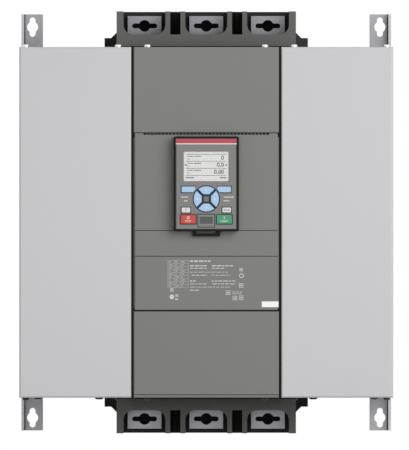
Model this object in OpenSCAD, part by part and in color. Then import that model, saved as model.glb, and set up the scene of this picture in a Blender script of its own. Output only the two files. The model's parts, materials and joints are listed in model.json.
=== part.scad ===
// Soft starter for a large motor: a moulded centre section with a detachable operator keypad
// stands between two folded sheet-metal side boxes, on a pair of keyhole mounting rails.
// X runs to the right, Y into the wall (the front faces -Y) and Z up.
// The origin is the centre of the four mounting keyholes, on the wall plane.

/* [Case] */
// Width over the two side covers
overall_w = 435; // [425:1:470]
// Height of the side covers and of the moulded front
case_h = 408; // [396:1:440]
// Depth from the wall plane to the front face
case_d = 275; // [270:1:300]
// Clear width between the two side covers
centre_w = 174.5; // [172:0.5:182]
// Sheet thickness of the side covers
cover_sheet = 1.2; // [0.8:0.1:1.6]
// Inside radius of the folds in the side covers
cover_fold_r = 0.8; // [0.4:0.1:2]
// Depth of the top and bottom returns of a side cover
cover_return = 40; // [34:1:50]
// Depth of the return along the inner edge of a side cover
inner_return = 22; // [12:1:34]

/* [Mounting rails] */
// Sheet thickness of the rails
rail_sheet = 3.2; // [2.5:0.1:4]
// Inside radius of the rail's fold
rail_fold_r = 1; // [0.5:0.1:2]
// Width of the flange that lies on the wall
ear_w = 25.2; // [22:0.2:32]
// How far each ear stands past the case
ear_reach = 41; // [30:1:55]
// Depth of the lip along the rail's outer edge
rail_lip = 18; // [12:1:26]
// Large diameter of a keyhole
keyhole_d = 13; // [11:0.5:15]
// Width of the keyhole's two slots
keyslot_w = 7; // [5.5:0.5:9]
// Length of the keyhole from slot end to slot end
keyslot_len = 22.8; // [18:0.2:27]
// Keyhole centre to the rail's outer face
keyhole_side = 13; // [11.5:0.5:16]
// Keyhole centre to the end of the ear
keyhole_end = 15; // [13:0.5:20]

/* [Chassis] */
// Sheet thickness of the chassis
chassis_sheet = 2; // [1.5:0.1:3]
// Setback of the chassis flanges from the front face
flange_setback = 25; // [18:1:30]
// Number of air slots in each top flange
air_slots = 13; // [6:1:14]
// Width of an air slot
air_slot_w = 5; // [3:0.5:6]
// Length of an air slot
air_slot_len = 62; // [40:1:80]
// Spacing of the air slots
air_slot_pitch = 10; // [8:0.5:12]

/* [Power terminals] */
// Width of the terminal blocks
block_w = 209.5; // [206:0.5:216]
// Depth of the terminal blocks, from the wall plane
block_d = 190; // [170:1:198]
// How far the blocks stand past the case
block_reach = 42.4; // [38:0.2:50]
// How far the blocks reach down inside the case
block_sink = 14; // [8:1:20]
// Width over the feet at the back of a block
foot_span = 239; // [230:1:246]
// Height of a foot above the case
foot_reach = 12.6; // [8:0.2:18]
// Depth of a foot, from the chassis
foot_d = 46; // [20:1:80]
// Spacing of the three phases
pole_pitch = 72.2; // [70:0.2:75]
// Width of a terminal pocket
pocket_w = 48.9; // [44:0.1:52]
// Floor of a pocket below the top of its block
pocket_h = 27; // [24:0.5:32]
// Depth of a pocket, from the block's front face
pocket_d = 62; // [45:1:80]
// Corner radius of a pocket's floor
pocket_r = 11.5; // [5:0.5:15]
// Width of the slots for phase barriers
barrier_w = 11.9; // [8:0.1:14]
// Depth of the slots for phase barriers
barrier_d = 48; // [20:1:60]
// Width of a busbar
bar_w = 39.6; // [34:0.2:42]
// Thickness of a busbar
bar_t = 8; // [5:0.5:12]
// Busbar end to the top of its block
bar_end_gap = 4.9; // [2:0.1:7]
// Bolt hole centre to the busbar end
bar_hole_end = 11.5; // [10:0.5:14]
// Diameter of the bolt hole in a busbar
bar_hole_d = 13.5; // [10:0.5:16]
// Width of the slots on both sides of the bolt hole
bar_slot_w = 5.6; // [4:0.2:8]
// Length of the bolt hole with its slots
bar_slot_len = 29; // [20:0.5:32]

/* [Power stack] */
// Half height of the bypass contactor
contactor_half_h = 149.5; // [130:0.5:160]
// Depth of the bypass contactor, from the wall plane
contactor_d = 184; // [175:1:190]
// Gap between the current transformers and the load terminal block
transformer_gap = 6; // [2:0.5:12]
// Gap between a heat sink and the rail or the terminal block beside it
heatsink_gap = 11; // [6:0.5:16]
// Depth of a heat sink, from the wall plane to its module face
heatsink_d = 186; // [160:1:200]
// Height of a heat sink
heatsink_h = 340; // [300:1:350]
// Thickness of the heat sink's base
heatsink_base = 12; // [8:1:16]
// Number of fins on a heat sink
fins = 11; // [7:1:13]
// Thickness of a fin
fin_t = 2.4; // [1.6:0.1:3]
// Height of a thyristor module
module_h = 94; // [70:1:100]
// Width of a thyristor module
module_w = 60; // [44:1:70]
// Depth of a thyristor module
module_d = 34; // [24:1:40]

/* [Fans] */
// Side of the square fan frame
fan_w = 80; // [70:1:84]
// Height of the fan frame
fan_h = 25; // [20:1:32]
// Spacing of the fan's mounting holes
fan_pitch = 71.5; // [60:0.5:73]
// Diameter of the fan's air duct
fan_duct_d = 76; // [62:0.5:76]
// Diameter of the rotor's hub
fan_hub_d = 32; // [24:1:38]
// Gap between the blade tips and the duct
fan_tip_gap = 1; // [0.6:0.1:2]
// Number of blades
blades = 7; // [5:1:9]
// Pitch angle of the blades
blade_angle = 38; // [25:1:50]
// Fan axis in front of the wall plane
fan_axis_d = 92; // [60:1:120]

/* [Moulded front] */
// Wall thickness of the housing and the covers
wall = 2.4; // [2:0.1:3]
// Depth of the housing behind the front face
housing_d = 62; // [60:1:64]
// Reveal between the housing's side walls and the covers
cover_reveal = 0.4; // [0.2:0.1:0.8]
// Height of the control cover
control_h = 206; // [190:0.2:230]
// Middle of the control cover above the middle of the case
control_up = 0.8; // [-6:0.2:8]
// Gap under the upper cover
upper_gap = 0.5; // [0.3:0.1:1]
// Gap above the lower cover
lower_gap = 1.3; // [0.4:0.1:2]
// Depth of the covers' side skirts
skirt_d = 20; // [12:1:30]
// Edge radius of the covers
cover_edge_r = 1.2; // [0.5:0.1:2]
// Spacing of the comb of wire slots along the control cover's top edge
comb_pitch = 4.2; // [3.8:0.1:6]
// Width of a wire slot
comb_w = 3; // [1.4:0.1:3.2]
// Height of a wire slot
comb_h = 2; // [1:0.1:3]
// Number of wire slots
comb_count = 35; // [11:2:37]
// Width of the grooves across the control cover
groove_w = 0.8; // [0.4:0.1:1.5]
// Depth of the grooves
groove_d = 0.6; // [0.3:0.1:1]
// Groove along the lower cover from its lower edge
end_groove_in = 3.4; // [2.6:0.1:6]
// Distance between the two grooves
groove_step = 30; // [20:1:40]

/* [Keypad] */
// Width of the keypad
keypad_w = 76; // [74:0.5:80]
// Height of the keypad
keypad_h = 110.4; // [108:0.2:114]
// Keypad's top edge below the control cover's top edge
keypad_drop = 3.9; // [3:0.1:6]
// How far the keypad stands out of the control cover
keypad_out = 14; // [13:0.5:18]
// How deep the keypad plugs into its bay
keypad_in = 8; // [5:0.5:12]
// Width of the rim around the face plate
rim_w = 2.4; // [1.2:0.1:3]
// Edge radius of the rim
rim_edge_r = 0.9; // [0.4:0.1:1.1]
// Depth of the face plate below the rim
rim_step = 0.4; // [0.2:0.1:0.8]
// Thickness of the face plate
face_t = 1; // [0.6:0.1:1.4]
// Corner radius of the keypad
keypad_r = 2.4; // [1:0.2:4]
// Width of the display
display_w = 52.8; // [44:0.2:58]
// Height of the display
display_h = 34.8; // [28:0.2:36]
// Display's top edge below the keypad's top edge
display_drop = 17.4; // [14:0.2:19]
// Width of the finger loop of the latch
latch_w = 32.2; // [24:0.2:40]
// How far the latch hangs below the keypad
latch_drop = 5.8; // [5:0.2:8]
// Height of the latch's cross bar
latch_bar = 3.4; // [2.6:0.2:4.5]

/* [Keys] */
// How far the keys stand out of the face plate
key_out = 1.2; // [1:0.1:2]
// Gap around each key
key_gap = 0.3; // [0.2:0.05:0.5]
// Bevel round the crown of each key
key_bevel = 0.5; // [0.2:0.1:0.8]
// Corner radius of the rectangular keys
key_r = 1.4; // [0.6:0.1:2.2]
// Navigation ring centre above the keypad's lower edge
ring_up = 37.7; // [36.4:0.1:39.2]
// Outer radius of the navigation keys
ring_r = 14.8; // [13:0.1:15.4]
// Width of the spokes between the navigation keys
spoke_w = 2.6; // [1.4:0.1:3]
// Side of the square hub in the ring
hub_w = 8; // [7:0.1:10]
// Outer end of the stop and start keys from the keypad's centre line
row_out = 30; // [29:0.1:31]
// Outer end of the soft keys and small keys from the centre line
upper_row_out = 28.8; // [27.6:0.1:29.6]
// Height of a soft key
softkey_h = 6.9; // [6:0.1:8]
// Soft keys' top edge above the ring centre
softkey_up = 14.5; // [14:0.1:16]
// Inner end of the soft keys from the centre line
softkey_in = 12.6; // [10:0.1:14]
// Width of the small keys
smallkey_w = 10.2; // [8:0.1:11]
// Height of the small keys
smallkey_h = 6; // [5:0.1:6.4]
// Small keys' lower edge above the keypad's lower edge
smallkey_up = 21.8; // [21.4:0.1:23.2]
// Width of the stop and start keys
bigkey_w = 18; // [15:0.2:19]
// Height of the stop and start keys
bigkey_h = 10.6; // [9:0.1:11.4]
// Stop and start keys' lower edge above the keypad's lower edge
bigkey_up = 8.8; // [7.6:0.1:9.2]
// Radius of the upper corners of the stop and start keys
bigkey_top_r = 2.6; // [1.4:0.1:4]
// Width of the service port's flap
flap_w = 18.6; // [17:0.1:19]
// Height of the service port's flap
flap_h = 14.2; // [13.6:0.1:14.4]
// Flap's lower edge above the keypad's lower edge
flap_up = 5.4; // [5:0.1:5.6]

/* [Fasteners] */
// Thread diameter of the cover and fan screws
screw_d = 4; // [3:0.5:5]
// Head diameter of the cover screws
screw_head_d = 7.8; // [6.5:0.1:9]
// Head height of the cover screws
screw_head_h = 3.2; // [2:0.1:4]
// Head diameter of the fan screws
fan_head_d = 10.2; // [8:0.1:11]
// Head height of the fan screws
fan_head_h = 3.4; // [2:0.1:4.5]
// Shank length of the cover screws
screw_len = 8; // [6:0.5:12]
// Shank length of the fan screws
fan_screw_len = 14; // [10:0.5:22]
// Cover screws behind the front face
screw_setback = 32; // [28:0.5:36]
// Outer cover screws from the case's side
outer_screw_in = 7.1; // [6.5:0.1:9]
// Inner cover screws from the edge of the centre section
inner_screw_in = 15.2; // [14:0.1:18]
// Front cover screws from the centre line
front_screw_x = 68.4; // [40:0.2:76]

/* [Hidden] */
$fn = 48;

// General fits
seat = 0.3;
eps = 0.01;
screw_hole_d = screw_d + 0.5;

// Case planes
half_w = overall_w / 2;
half_h = case_h / 2;
front = -case_d;
cover_in = centre_w / 2;
flange_z = half_h - cover_sheet;
chassis_back = -rail_sheet;
chassis_face = chassis_back - chassis_sheet;
rail_outer_r = rail_sheet + rail_fold_r;
chassis_half_w = half_w - rail_outer_r - seat;
flange_front = front + flange_setback;
screw_y = front + screw_setback;
rail_h = case_h + 2 * ear_reach;
keyhole_x = half_w - keyhole_side;
keyhole_z = rail_h / 2 - keyhole_end;

// Power terminal planes
block_front = -block_d;
block_top = half_h + block_reach;
block_floor = half_h - block_sink;
pocket_floor = block_top - pocket_h;
pocket_back = block_front + pocket_d;
bar_face = pocket_back - bar_t;
bar_end = block_top - bar_end_gap;
bar_hole_z = bar_end - bar_hole_end;
nut_d = 26;
flange_in = block_w / 2 + 1.2;
foot_chamfer = 7;
barrier_post_d = 5;

// Power stack planes
housing_back = front + housing_d;
contactor_front = -contactor_d;
contactor_half_w = block_w / 2 - 1.5;
transformer_d = 70;
transformer_h = block_floor - contactor_half_h - seat - transformer_gap;
side_mid = (block_w / 2 + half_w) / 2;
heatsink_w = half_w - rail_sheet - block_w / 2 - 2 * heatsink_gap;
fan_y = -fan_axis_d;
fan_seat = -flange_z + chassis_sheet;
heatsink_face = -heatsink_d;
heatsink_low = fan_seat + fan_h + 6;
heatsink_leg = 4;
module_step = (heatsink_h - module_h) / 2 - 6;
fan_strut_h = 4;
fan_corner_r = 4;
shaft_d = 4;

// Moulded front planes
housing_half_w = centre_w / 2 - 0.4;
housing_half_h = half_h - 0.2;
housing_rim = front + 3;
cover_half_w = housing_half_w - wall + 0.4 - cover_reveal;
control_half_w = cover_half_w - 1.1;
skirt_half_w = cover_half_w - 0.1;
control_top = control_up + control_h / 2;
control_low = control_up - control_h / 2;
upper_low = control_top + upper_gap;
lower_top = control_low - lower_gap;
cover_shelf = half_h - wall;
board_t = 1.6;
board_edge = 8;
board_half_w = housing_half_w - wall - board_edge;
board_bottom = control_low + board_edge;
board_top = control_top + board_edge;
driver_half_w = board_half_w - 1.5 * board_edge;
driver_low = -half_h + 1.5 * board_edge;
driver_top = lower_top - 2 * board_edge;
board_stand = 17;
control_board_y = housing_back - wall - board_stand;
driver_stand = 9;
driver_board_y = housing_back - wall - driver_stand;
boss_d = 8;
terminal_h = 12;

// Keypad planes
keypad_top = control_top - keypad_drop;
keypad_low = keypad_top - keypad_h;
keypad_mid = (keypad_top + keypad_low) / 2;
rim_front = front - keypad_out;
face_front = rim_front + rim_step;
face_back = face_front + face_t;
shell_wall = 2.8;
shell_front_t = 2;
shell_inner_front = face_back + shell_front_t;
shell_back = front - seat - 0.1;
rear_gap = 0.3;
rear_inset = shell_wall + rear_gap;
rear_wall = 1.8;
rear_front = shell_inner_front + 2.8;
rear_back = front + keypad_in;
bay_gap = 0.6;
bay_inset = rear_inset - bay_gap;
bay_floor = rear_back + 1.4;
mat_t = 2;
field_edge = 1.4;
web_gap = 0.2;
board_front = shell_inner_front + 4.6;
mat_front = board_front - mat_t;
key_front = face_front - key_out;
key_rear = shell_inner_front + 1.4;
display_top = keypad_top - display_drop;
display_low = display_top - display_h;
display_frame = 4;
window_gap = 0.15;
latch_arm = 4.4;
latch_t = 3;
latch_stem = 6.5;
latch_travel = 2;
latch_y = front - 5.4;
latch_low = keypad_low - latch_drop;
board_low = keypad_low + latch_stem + latch_travel + 0.5;
socket_w = 16;
socket_h = 14;
socket_d = 10;
socket_out = 0.6;
socket_drop = 20;
socket_z = keypad_mid - socket_drop;
face_gap = 0.1;

// Key planes
ring_z = keypad_low + ring_up;
ring_hole_r = ring_r + 1;
ring_wall = 1;
softkey_top = ring_z + softkey_up;
smallkey_low = keypad_low + smallkey_up;
bigkey_low = keypad_low + bigkey_up;
flap_low = keypad_low + flap_up;
flap_top = flap_low + flap_h;
flap_t = 1.6;
flap_axis_y = face_front;
flap_axis_z = flap_top - flap_t / 2;
port_w = 12;
port_h = 6.6;
port_z = flap_low + 7;
port_shell_w = 9;
port_shell_h = 5;

// Colours
galvanised = "#b9babc";
aluzinc = "#c8c8ca";
cover_grey = "#83847f";
block_grey = "#5c5d5a";
black = "#17181a";
tin = "#9c9da1";
face_grey = "#929290";
board_green = "#2f6b45";
key_blue = "#a9cbe9";
key_white = "#e9ecec";
key_red = "#d8402c";
key_green = "#3fa078";

// Helpers: a box from its corner planes, and outlines drawn on the front, plan or side planes
module box(x0, x1, y0, y1, z0, z1) {
    translate([x0, y0, z0]) cube([x1 - x0, y1 - y0, z1 - z0]);
}

module front_cut(y0, y1) {
    translate([0, y1, 0]) rotate([90, 0, 0]) linear_extrude(y1 - y0) children();
}

module side_cut(x0, x1) {
    translate([x0, 0, 0]) rotate([90, 0, 90]) linear_extrude(x1 - x0) children();
}

module both_sides() {
    children();
    mirror([1, 0, 0]) children();
}

module both_ends() {
    children();
    mirror([0, 0, 1]) children();
}

module rect(x0, x1, y0, y1) {
    translate([x0, y0]) square([x1 - x0, y1 - y0]);
}

module round_rect(x0, x1, y0, y1, r) {
    rect(x0 + r, x1 - r, y0, y1);
    rect(x0, x1, y0 + r, y1 - r);
    for (x = [x0 + r, x1 - r], y = [y0 + r, y1 - r]) translate([x, y]) circle(r);
}

// Rectangle whose two corners on the low-y side are round
module round_front(x0, x1, y0, y1, r) {
    rect(x0, x1, y0 + r, y1);
    rect(x0 + r, x1 - r, y0, y0 + 2 * r);
    for (x = [x0 + r, x1 - r]) translate([x, y0 + r]) circle(r);
}

// Box whose front edges are rounded all round
module soft_box(x0, x1, y0, y1, z0, z1, r) {
    intersection() {
        translate([0, 0, z0]) linear_extrude(z1 - z0) round_front(x0, x1, y0, y1, r);
        side_cut(x0 - 1, x1 + 1) rotate(-90) round_front(-z1, -z0, y0, y1, r);
    }
}

// Slot with round ends along the second axis
module round_slot(width, length) {
    square([width, length - width], center = true);
    for (s = [-1, 1]) translate([0, s * (length - width) / 2]) circle(d = width);
}

// Rails, chassis and sheet-metal covers, all drawn on the right
module rail_profile() {
    rect(half_w - ear_w, half_w - rail_outer_r, -rail_sheet, 0);
    rect(half_w - rail_sheet, half_w, -rail_lip, -rail_outer_r);
    intersection() {
        translate([half_w - rail_outer_r, -rail_outer_r]) difference() {
            circle(rail_outer_r);
            circle(rail_fold_r);
        }
        rect(half_w - rail_outer_r, half_w, -rail_outer_r, 0);
    }
}

module mounting_rail() {
    color(galvanised) difference() {
        linear_extrude(rail_h, center = true) rail_profile();
        for (s = [-1, 1]) front_cut(-rail_sheet - 1, 1) translate([keyhole_x, s * keyhole_z]) {
            circle(d = keyhole_d);
            round_slot(keyslot_w, keyslot_len);
        }
    }
}

function cover_screws_at() = [[half_w - outer_screw_in, screw_y], [cover_in + inner_screw_in, screw_y]];

module chassis_flange() {
    flange_tab_in = cover_in + cover_sheet + 2;
    rect(flange_in, chassis_half_w, flange_front, chassis_back);
    rect(flange_tab_in, flange_in + eps, flange_front, block_front - 2);
    rect(chassis_half_w - eps, half_w - cover_sheet - seat, flange_front, -rail_lip - 1);
}

module chassis() {
    color(galvanised) difference() {
        union() {
            box(-chassis_half_w, chassis_half_w, chassis_face, chassis_back, -flange_z, flange_z);
            both_sides() both_ends() translate([0, 0, flange_z - chassis_sheet])
                linear_extrude(chassis_sheet) chassis_flange();
        }
        both_sides() both_ends() for (p = cover_screws_at()) translate([p.x, p.y, flange_z - 5])
            cylinder(d = screw_hole_d, h = 10);
        both_sides() for (i = [0 : air_slots - 1])
            translate([side_mid, fan_y + (i - (air_slots - 1) / 2) * air_slot_pitch, flange_z])
                cube([air_slot_len, air_slot_w, 10], center = true);
        both_sides() translate([side_mid, fan_y, -flange_z - 5]) {
            cylinder(d = fan_duct_d, h = 10);
            for (x = [-1, 1], y = [-1, 1]) translate([x, y] * fan_pitch / 2)
                cylinder(d = screw_hole_d, h = 10);
        }
    }
}

module side_cover_block(inset) {
    r = cover_fold_r + cover_sheet - inset;
    soft_box(cover_in + inset, half_w - inset, front + inset, 10, -half_h + inset, half_h - inset, r);
}

module side_cover() {
    wall_cut = cover_sheet + eps;
    color(aluzinc) difference() {
        side_cover_block(0);
        side_cover_block(cover_sheet);
        box(cover_in - 1, half_w + 1, -rail_lip - seat, 20, -half_h - 1, half_h + 1);
        both_ends() box(cover_in + wall_cut, half_w - wall_cut, front + cover_return, 0,
            half_h - wall_cut, half_h + 1);
        box(cover_in - 1, cover_in + wall_cut, front + inner_return, 0, -half_h - 1, half_h + 1);
        both_ends() for (p = cover_screws_at()) translate([p.x, p.y, half_h - 5])
            cylinder(d = screw_hole_d, h = 10);
    }
}

// Terminal block at the top, with three pockets, two barrier slots and two feet over the chassis flange
module foot_outline() {
    edge = block_w / 2 - eps;
    foot_low = flange_z + seat;
    foot_top = half_h + foot_reach;
    polygon([
        [edge, foot_low], [foot_span / 2, foot_low], [foot_span / 2, foot_top],
        [block_w / 2 + foot_chamfer, foot_top], [edge, foot_top + foot_chamfer]
    ]);
}

module pocket_outline() {
    rect(-pocket_w / 2, pocket_w / 2, pocket_floor + pocket_r, block_top + 1);
    rect(-pocket_w / 2 + pocket_r, pocket_w / 2 - pocket_r, pocket_floor, pocket_floor + 2 * pocket_r);
    for (s = [-1, 1]) translate([s * (pocket_w / 2 - pocket_r), pocket_floor + pocket_r]) circle(pocket_r);
}

module terminal_block() {
    nut_h = bar_hole_d + 3;
    color(block_grey) difference() {
        union() {
            box(-block_w / 2, block_w / 2, block_front, chassis_face, block_floor, block_top);
            both_sides() front_cut(chassis_face - foot_d, chassis_face) foot_outline();
        }
        for (i = [-1 : 1]) translate([i * pole_pitch, 0, 0]) {
            front_cut(block_front - 1, pocket_back) pocket_outline();
            box(-bar_w / 2 - seat, bar_w / 2 + seat, bar_face - seat, pocket_back + seat,
                block_floor - 1, pocket_floor + pocket_r);
            box(-bar_slot_len / 2, bar_slot_len / 2, pocket_back - 1, pocket_back + nut_d,
                bar_hole_z - nut_h / 2, bar_hole_z + nut_h / 2);
        }
        both_sides() box((pole_pitch - barrier_w) / 2, (pole_pitch + barrier_w) / 2, block_front - 1,
            block_front + barrier_d, pocket_floor, block_top + 1);
    }
    color(block_grey) both_sides() translate([pole_pitch / 2, block_front + barrier_d + eps, 0])
        front_cut(-barrier_post_d, 0) {
            rect(-barrier_post_d / 2, barrier_post_d / 2, pocket_floor - 1, block_top - barrier_post_d / 2);
            translate([0, block_top - barrier_post_d / 2]) circle(d = barrier_post_d);
        }
}

module busbar() {
    color(tin) difference() {
        box(-bar_w / 2, bar_w / 2, bar_face, pocket_back, contactor_half_h + seat, bar_end);
        front_cut(bar_face - 1, pocket_back + 1) translate([0, bar_hole_z]) {
            circle(d = bar_hole_d);
            rotate(90) round_slot(bar_slot_w, bar_slot_len);
        }
    }
}

module line_busbar(pole) {
    translate([(pole - 2) * pole_pitch, 0, 0]) busbar();
}

module load_busbar(pole) {
    mirror([0, 0, 1]) line_busbar(pole);
}

// Contactor that carries the current once the motor runs, with its arc chamber in front
module bypass_contactor() {
    coil_h = 90;
    coil_step = 8;
    coil_back = 30;
    color(black) difference() {
        box(-contactor_half_w, contactor_half_w, contactor_front, chassis_face,
            -contactor_half_h, contactor_half_h);
        both_sides() box(contactor_half_w - coil_step, contactor_half_w + 1, contactor_front - 1,
            chassis_face - coil_back, -coil_h / 2, coil_h / 2);
    }
}

module arc_chamber() {
    chute_t = 6;
    chute_floor = 6;
    chamber_in = 4;
    chamber_gap = 2;
    chamber_half_w = contactor_half_w - chamber_in;
    chamber_half_h = block_floor - chamber_gap;
    chamber_front = housing_back + seat;
    color(black) difference() {
        box(-chamber_half_w, chamber_half_w, chamber_front, contactor_front,
            -chamber_half_h, chamber_half_h);
        both_sides() box((pole_pitch - chute_t) / 2, (pole_pitch + chute_t) / 2, chamber_front - 1,
            contactor_front - chute_floor, -chamber_half_h - 1, chamber_half_h + 1);
    }
}

module current_transformers() {
    top = -contactor_half_h - seat;
    mid = (bar_face + pocket_back) / 2;
    color("#23304a") difference() {
        box(-contactor_half_w, contactor_half_w, mid - transformer_d / 2, mid + transformer_d / 2,
            top - transformer_h, top);
        for (i = [-1 : 1]) translate([i * pole_pitch, 0, 0])
            box(-bar_w / 2 - seat, bar_w / 2 + seat, bar_face - seat, pocket_back + seat,
                top - transformer_h - 1, top + 1);
    }
}

// Finned extrusion in each side box, with three thyristor modules on its front face
module heatsink() {
    fin_space = (heatsink_w - 2 * heatsink_leg) / (fins + 1);
    fin_back_gap = 6;
    color(tin) translate([side_mid, 0, heatsink_low]) linear_extrude(heatsink_h) {
        rect(-heatsink_w / 2, heatsink_w / 2, heatsink_face, heatsink_face + heatsink_base);
        for (s = [-1, 1]) translate([s * (heatsink_w - heatsink_leg) / 2, 0])
            rect(-heatsink_leg / 2, heatsink_leg / 2, heatsink_face, chassis_face);
        for (i = [1 : fins]) translate([-heatsink_w / 2 + heatsink_leg + i * fin_space, 0])
            rect(-fin_t / 2, fin_t / 2, heatsink_face, chassis_face - fin_back_gap);
    }
}

module thyristor(row) {
    lid = 5;
    pad_w = 18;
    pad_h = 3;
    middle = heatsink_low + heatsink_h / 2 + (2 - row) * module_step;
    color("#2b2d31") translate([side_mid, heatsink_face, middle]) {
        box(-module_w / 2, module_w / 2, -module_d / 2, 0, -module_h / 2, module_h / 2);
        box(-module_w / 2 + lid, module_w / 2 - lid, -module_d, -module_d / 2 + eps,
            -module_h / 2 + 2 * lid, module_h / 2 - 2 * lid);
        for (s = [-1, 0, 1]) translate([0, 0, s * module_h / 4])
            box(-pad_w / 2, pad_w / 2, -module_d - pad_h, -module_d + eps, -pad_w / 2, pad_w / 2);
    }
}

// Axial fan on the floor of each side box, blowing up through the fins
module fan_frame() {
    strut_w = 5;
    color(black) translate([side_mid, fan_y, fan_seat]) {
        difference() {
            linear_extrude(fan_h) round_rect(-fan_w / 2, fan_w / 2, -fan_w / 2, fan_w / 2, fan_corner_r);
            translate([0, 0, -1]) cylinder(d = fan_duct_d, h = fan_h + 2);
            for (x = [-1, 1], y = [-1, 1]) translate([x * fan_pitch / 2, y * fan_pitch / 2, -1])
                cylinder(d = screw_hole_d, h = fan_h + 2);
        }
        difference() {
            union() {
                cylinder(d = fan_hub_d, h = fan_strut_h);
                for (a = [45, 135]) rotate(a)
                    translate([-fan_duct_d / 2 - 1, -strut_w / 2, 0])
                        cube([fan_duct_d + 2, strut_w, fan_strut_h]);
            }
            translate([0, 0, -1]) cylinder(d = shaft_d + 0.1, h = fan_strut_h + 2);
        }
    }
}

module fan_rotor() {
    hub_low = fan_strut_h + seat;
    hub_h = fan_h - hub_low - 1;
    blade_t = 1.8;
    blade_root = 2;
    tip_r = fan_duct_d / 2 - fan_tip_gap;
    color("#222326") translate([side_mid, fan_y, fan_seat]) {
        translate([0, 0, hub_low]) cylinder(d = fan_hub_d, h = hub_h);
        cylinder(d = shaft_d, h = hub_low + 1);
        intersection() {
            translate([0, 0, hub_low]) cylinder(r = tip_r, h = hub_h);
            for (i = [0 : blades - 1]) rotate(i * 360 / blades)
                translate([fan_hub_d / 2 - blade_root, 0, hub_low + hub_h / 2]) rotate([blade_angle, 0, 0])
                    translate([0, -blade_t / 2, -fan_w / 2]) cube([fan_duct_d / 2, blade_t, fan_w]);
        }
    }
}

module fan_guard() {
    ring_w = 2.2;
    ring_step = 7;
    rings = floor(fan_duct_d / 2 / ring_step);
    color(black) translate([side_mid, fan_y, -half_h]) difference() {
        linear_extrude(cover_sheet) difference() {
            round_rect(-fan_w / 2, fan_w / 2, -fan_w / 2, fan_w / 2, fan_corner_r);
            difference() {
                circle(d = fan_duct_d);
                for (i = [1 : rings]) difference() {
                    circle(i * ring_step);
                    circle(i * ring_step - ring_w);
                }
                for (a = [0, 45, 90, 135]) rotate(a) square([fan_duct_d + 2, ring_w], center = true);
            }
        }
        for (x = [-1, 1], y = [-1, 1]) translate([x * fan_pitch / 2, y * fan_pitch / 2, -1])
            cylinder(d = screw_hole_d, h = 5);
    }
}

// Moulded centre section: an open housing with three covers on its front
function board_bosses() = [for (x = [-1, 1], z = [board_bottom + boss_d, board_top - 2 * boss_d])
    [x * (board_half_w - boss_d), z]];
function driver_bosses() = [for (x = [-1, 1], z = [driver_low + boss_d, driver_top - boss_d])
    [x * (driver_half_w - boss_d), z]];

module control_housing() {
    floor_y = housing_back - wall;
    inner_w = housing_half_w - wall;
    inner_h = cover_shelf - wall - seat;
    color(black) {
        difference() {
            box(-housing_half_w, housing_half_w, housing_rim, housing_back,
                -housing_half_h, housing_half_h);
            box(-inner_w, inner_w, front - 1, floor_y, -inner_h, inner_h);
            both_ends() box(-inner_w, inner_w, front - 1, front + cover_return,
                cover_shelf - seat, half_h + 1);
            both_sides() both_ends() translate([front_screw_x, screw_y, cover_shelf - 10])
                cylinder(d = screw_hole_d, h = 20);
        }
        for (p = board_bosses()) translate([p.x, 0, p.y])
            front_cut(control_board_y, floor_y + eps) circle(d = boss_d);
        for (p = driver_bosses()) translate([p.x, 0, p.y])
            front_cut(driver_board_y, floor_y + eps) circle(d = boss_d);
    }
}

// Cover at the top of the centre section; the lower cover is turned over and has a groove near its end
module end_cover(low, grooved) {
    inner = skirt_half_w - wall;
    color(cover_grey) difference() {
        union() {
            soft_box(-cover_half_w, cover_half_w, front, front + wall + 2, low, half_h, cover_edge_r);
            box(-skirt_half_w, skirt_half_w, front + wall, front + skirt_d, low + wall, cover_shelf + eps);
            box(-skirt_half_w, skirt_half_w, front + wall, front + cover_return - 1, cover_shelf, half_h);
        }
        box(-inner, inner, front + wall, front + skirt_d + 1, low + 2 * wall, cover_shelf);
        box(-skirt_half_w - 1, skirt_half_w + 1, front + wall, front + skirt_d + 1,
            cover_shelf - wall - 2 * seat, cover_shelf);
        both_sides() translate([front_screw_x, screw_y, half_h - 10]) cylinder(d = screw_hole_d, h = 20);
        if (grooved) box(-cover_half_w - 1, cover_half_w + 1, front - 1, front + groove_d,
            half_h - end_groove_in - groove_w / 2, half_h - end_groove_in + groove_w / 2);
    }
}

module control_cover() {
    inner = skirt_half_w - wall;
    bay_x = keypad_w / 2 - bay_inset;
    bay_low = keypad_low + bay_inset;
    bay_top = keypad_top - bay_inset;
    color(cover_grey) difference() {
        union() {
            difference() {
                union() {
                    soft_box(-control_half_w, control_half_w, front, front + wall + 2,
                        control_low, control_top, cover_edge_r);
                    box(-skirt_half_w, skirt_half_w, front + wall, front + skirt_d,
                        control_low + wall, control_top - 2 * wall);
                }
                box(-inner, inner, front + wall, front + skirt_d + 1, control_low - 1, control_top + 1);
            }
            box(-bay_x - wall, bay_x + wall, front + wall - eps, bay_floor + wall,
                bay_low - wall, bay_top + wall);
        }
        box(-bay_x, bay_x, front - 1, bay_floor, bay_low, bay_top);
        box(-socket_w / 2 - seat, socket_w / 2 + seat, bay_floor - 1, bay_floor + wall + 1,
            socket_z - socket_h / 2 - seat, socket_z + socket_h / 2 + seat);
        for (i = [0 : comb_count - 1]) translate([(i - (comb_count - 1) / 2) * comb_pitch, 0, 0])
            box(-comb_w / 2, comb_w / 2, front - 1, front + wall + 3,
                control_top - comb_h, control_top + 1);
        for (z = [keypad_low + 1, keypad_low + 1 - groove_step])
            box(-control_half_w - 1, control_half_w + 1, front - 1, front + groove_d,
                z - groove_w / 2, z + groove_w / 2);
    }
}

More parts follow.
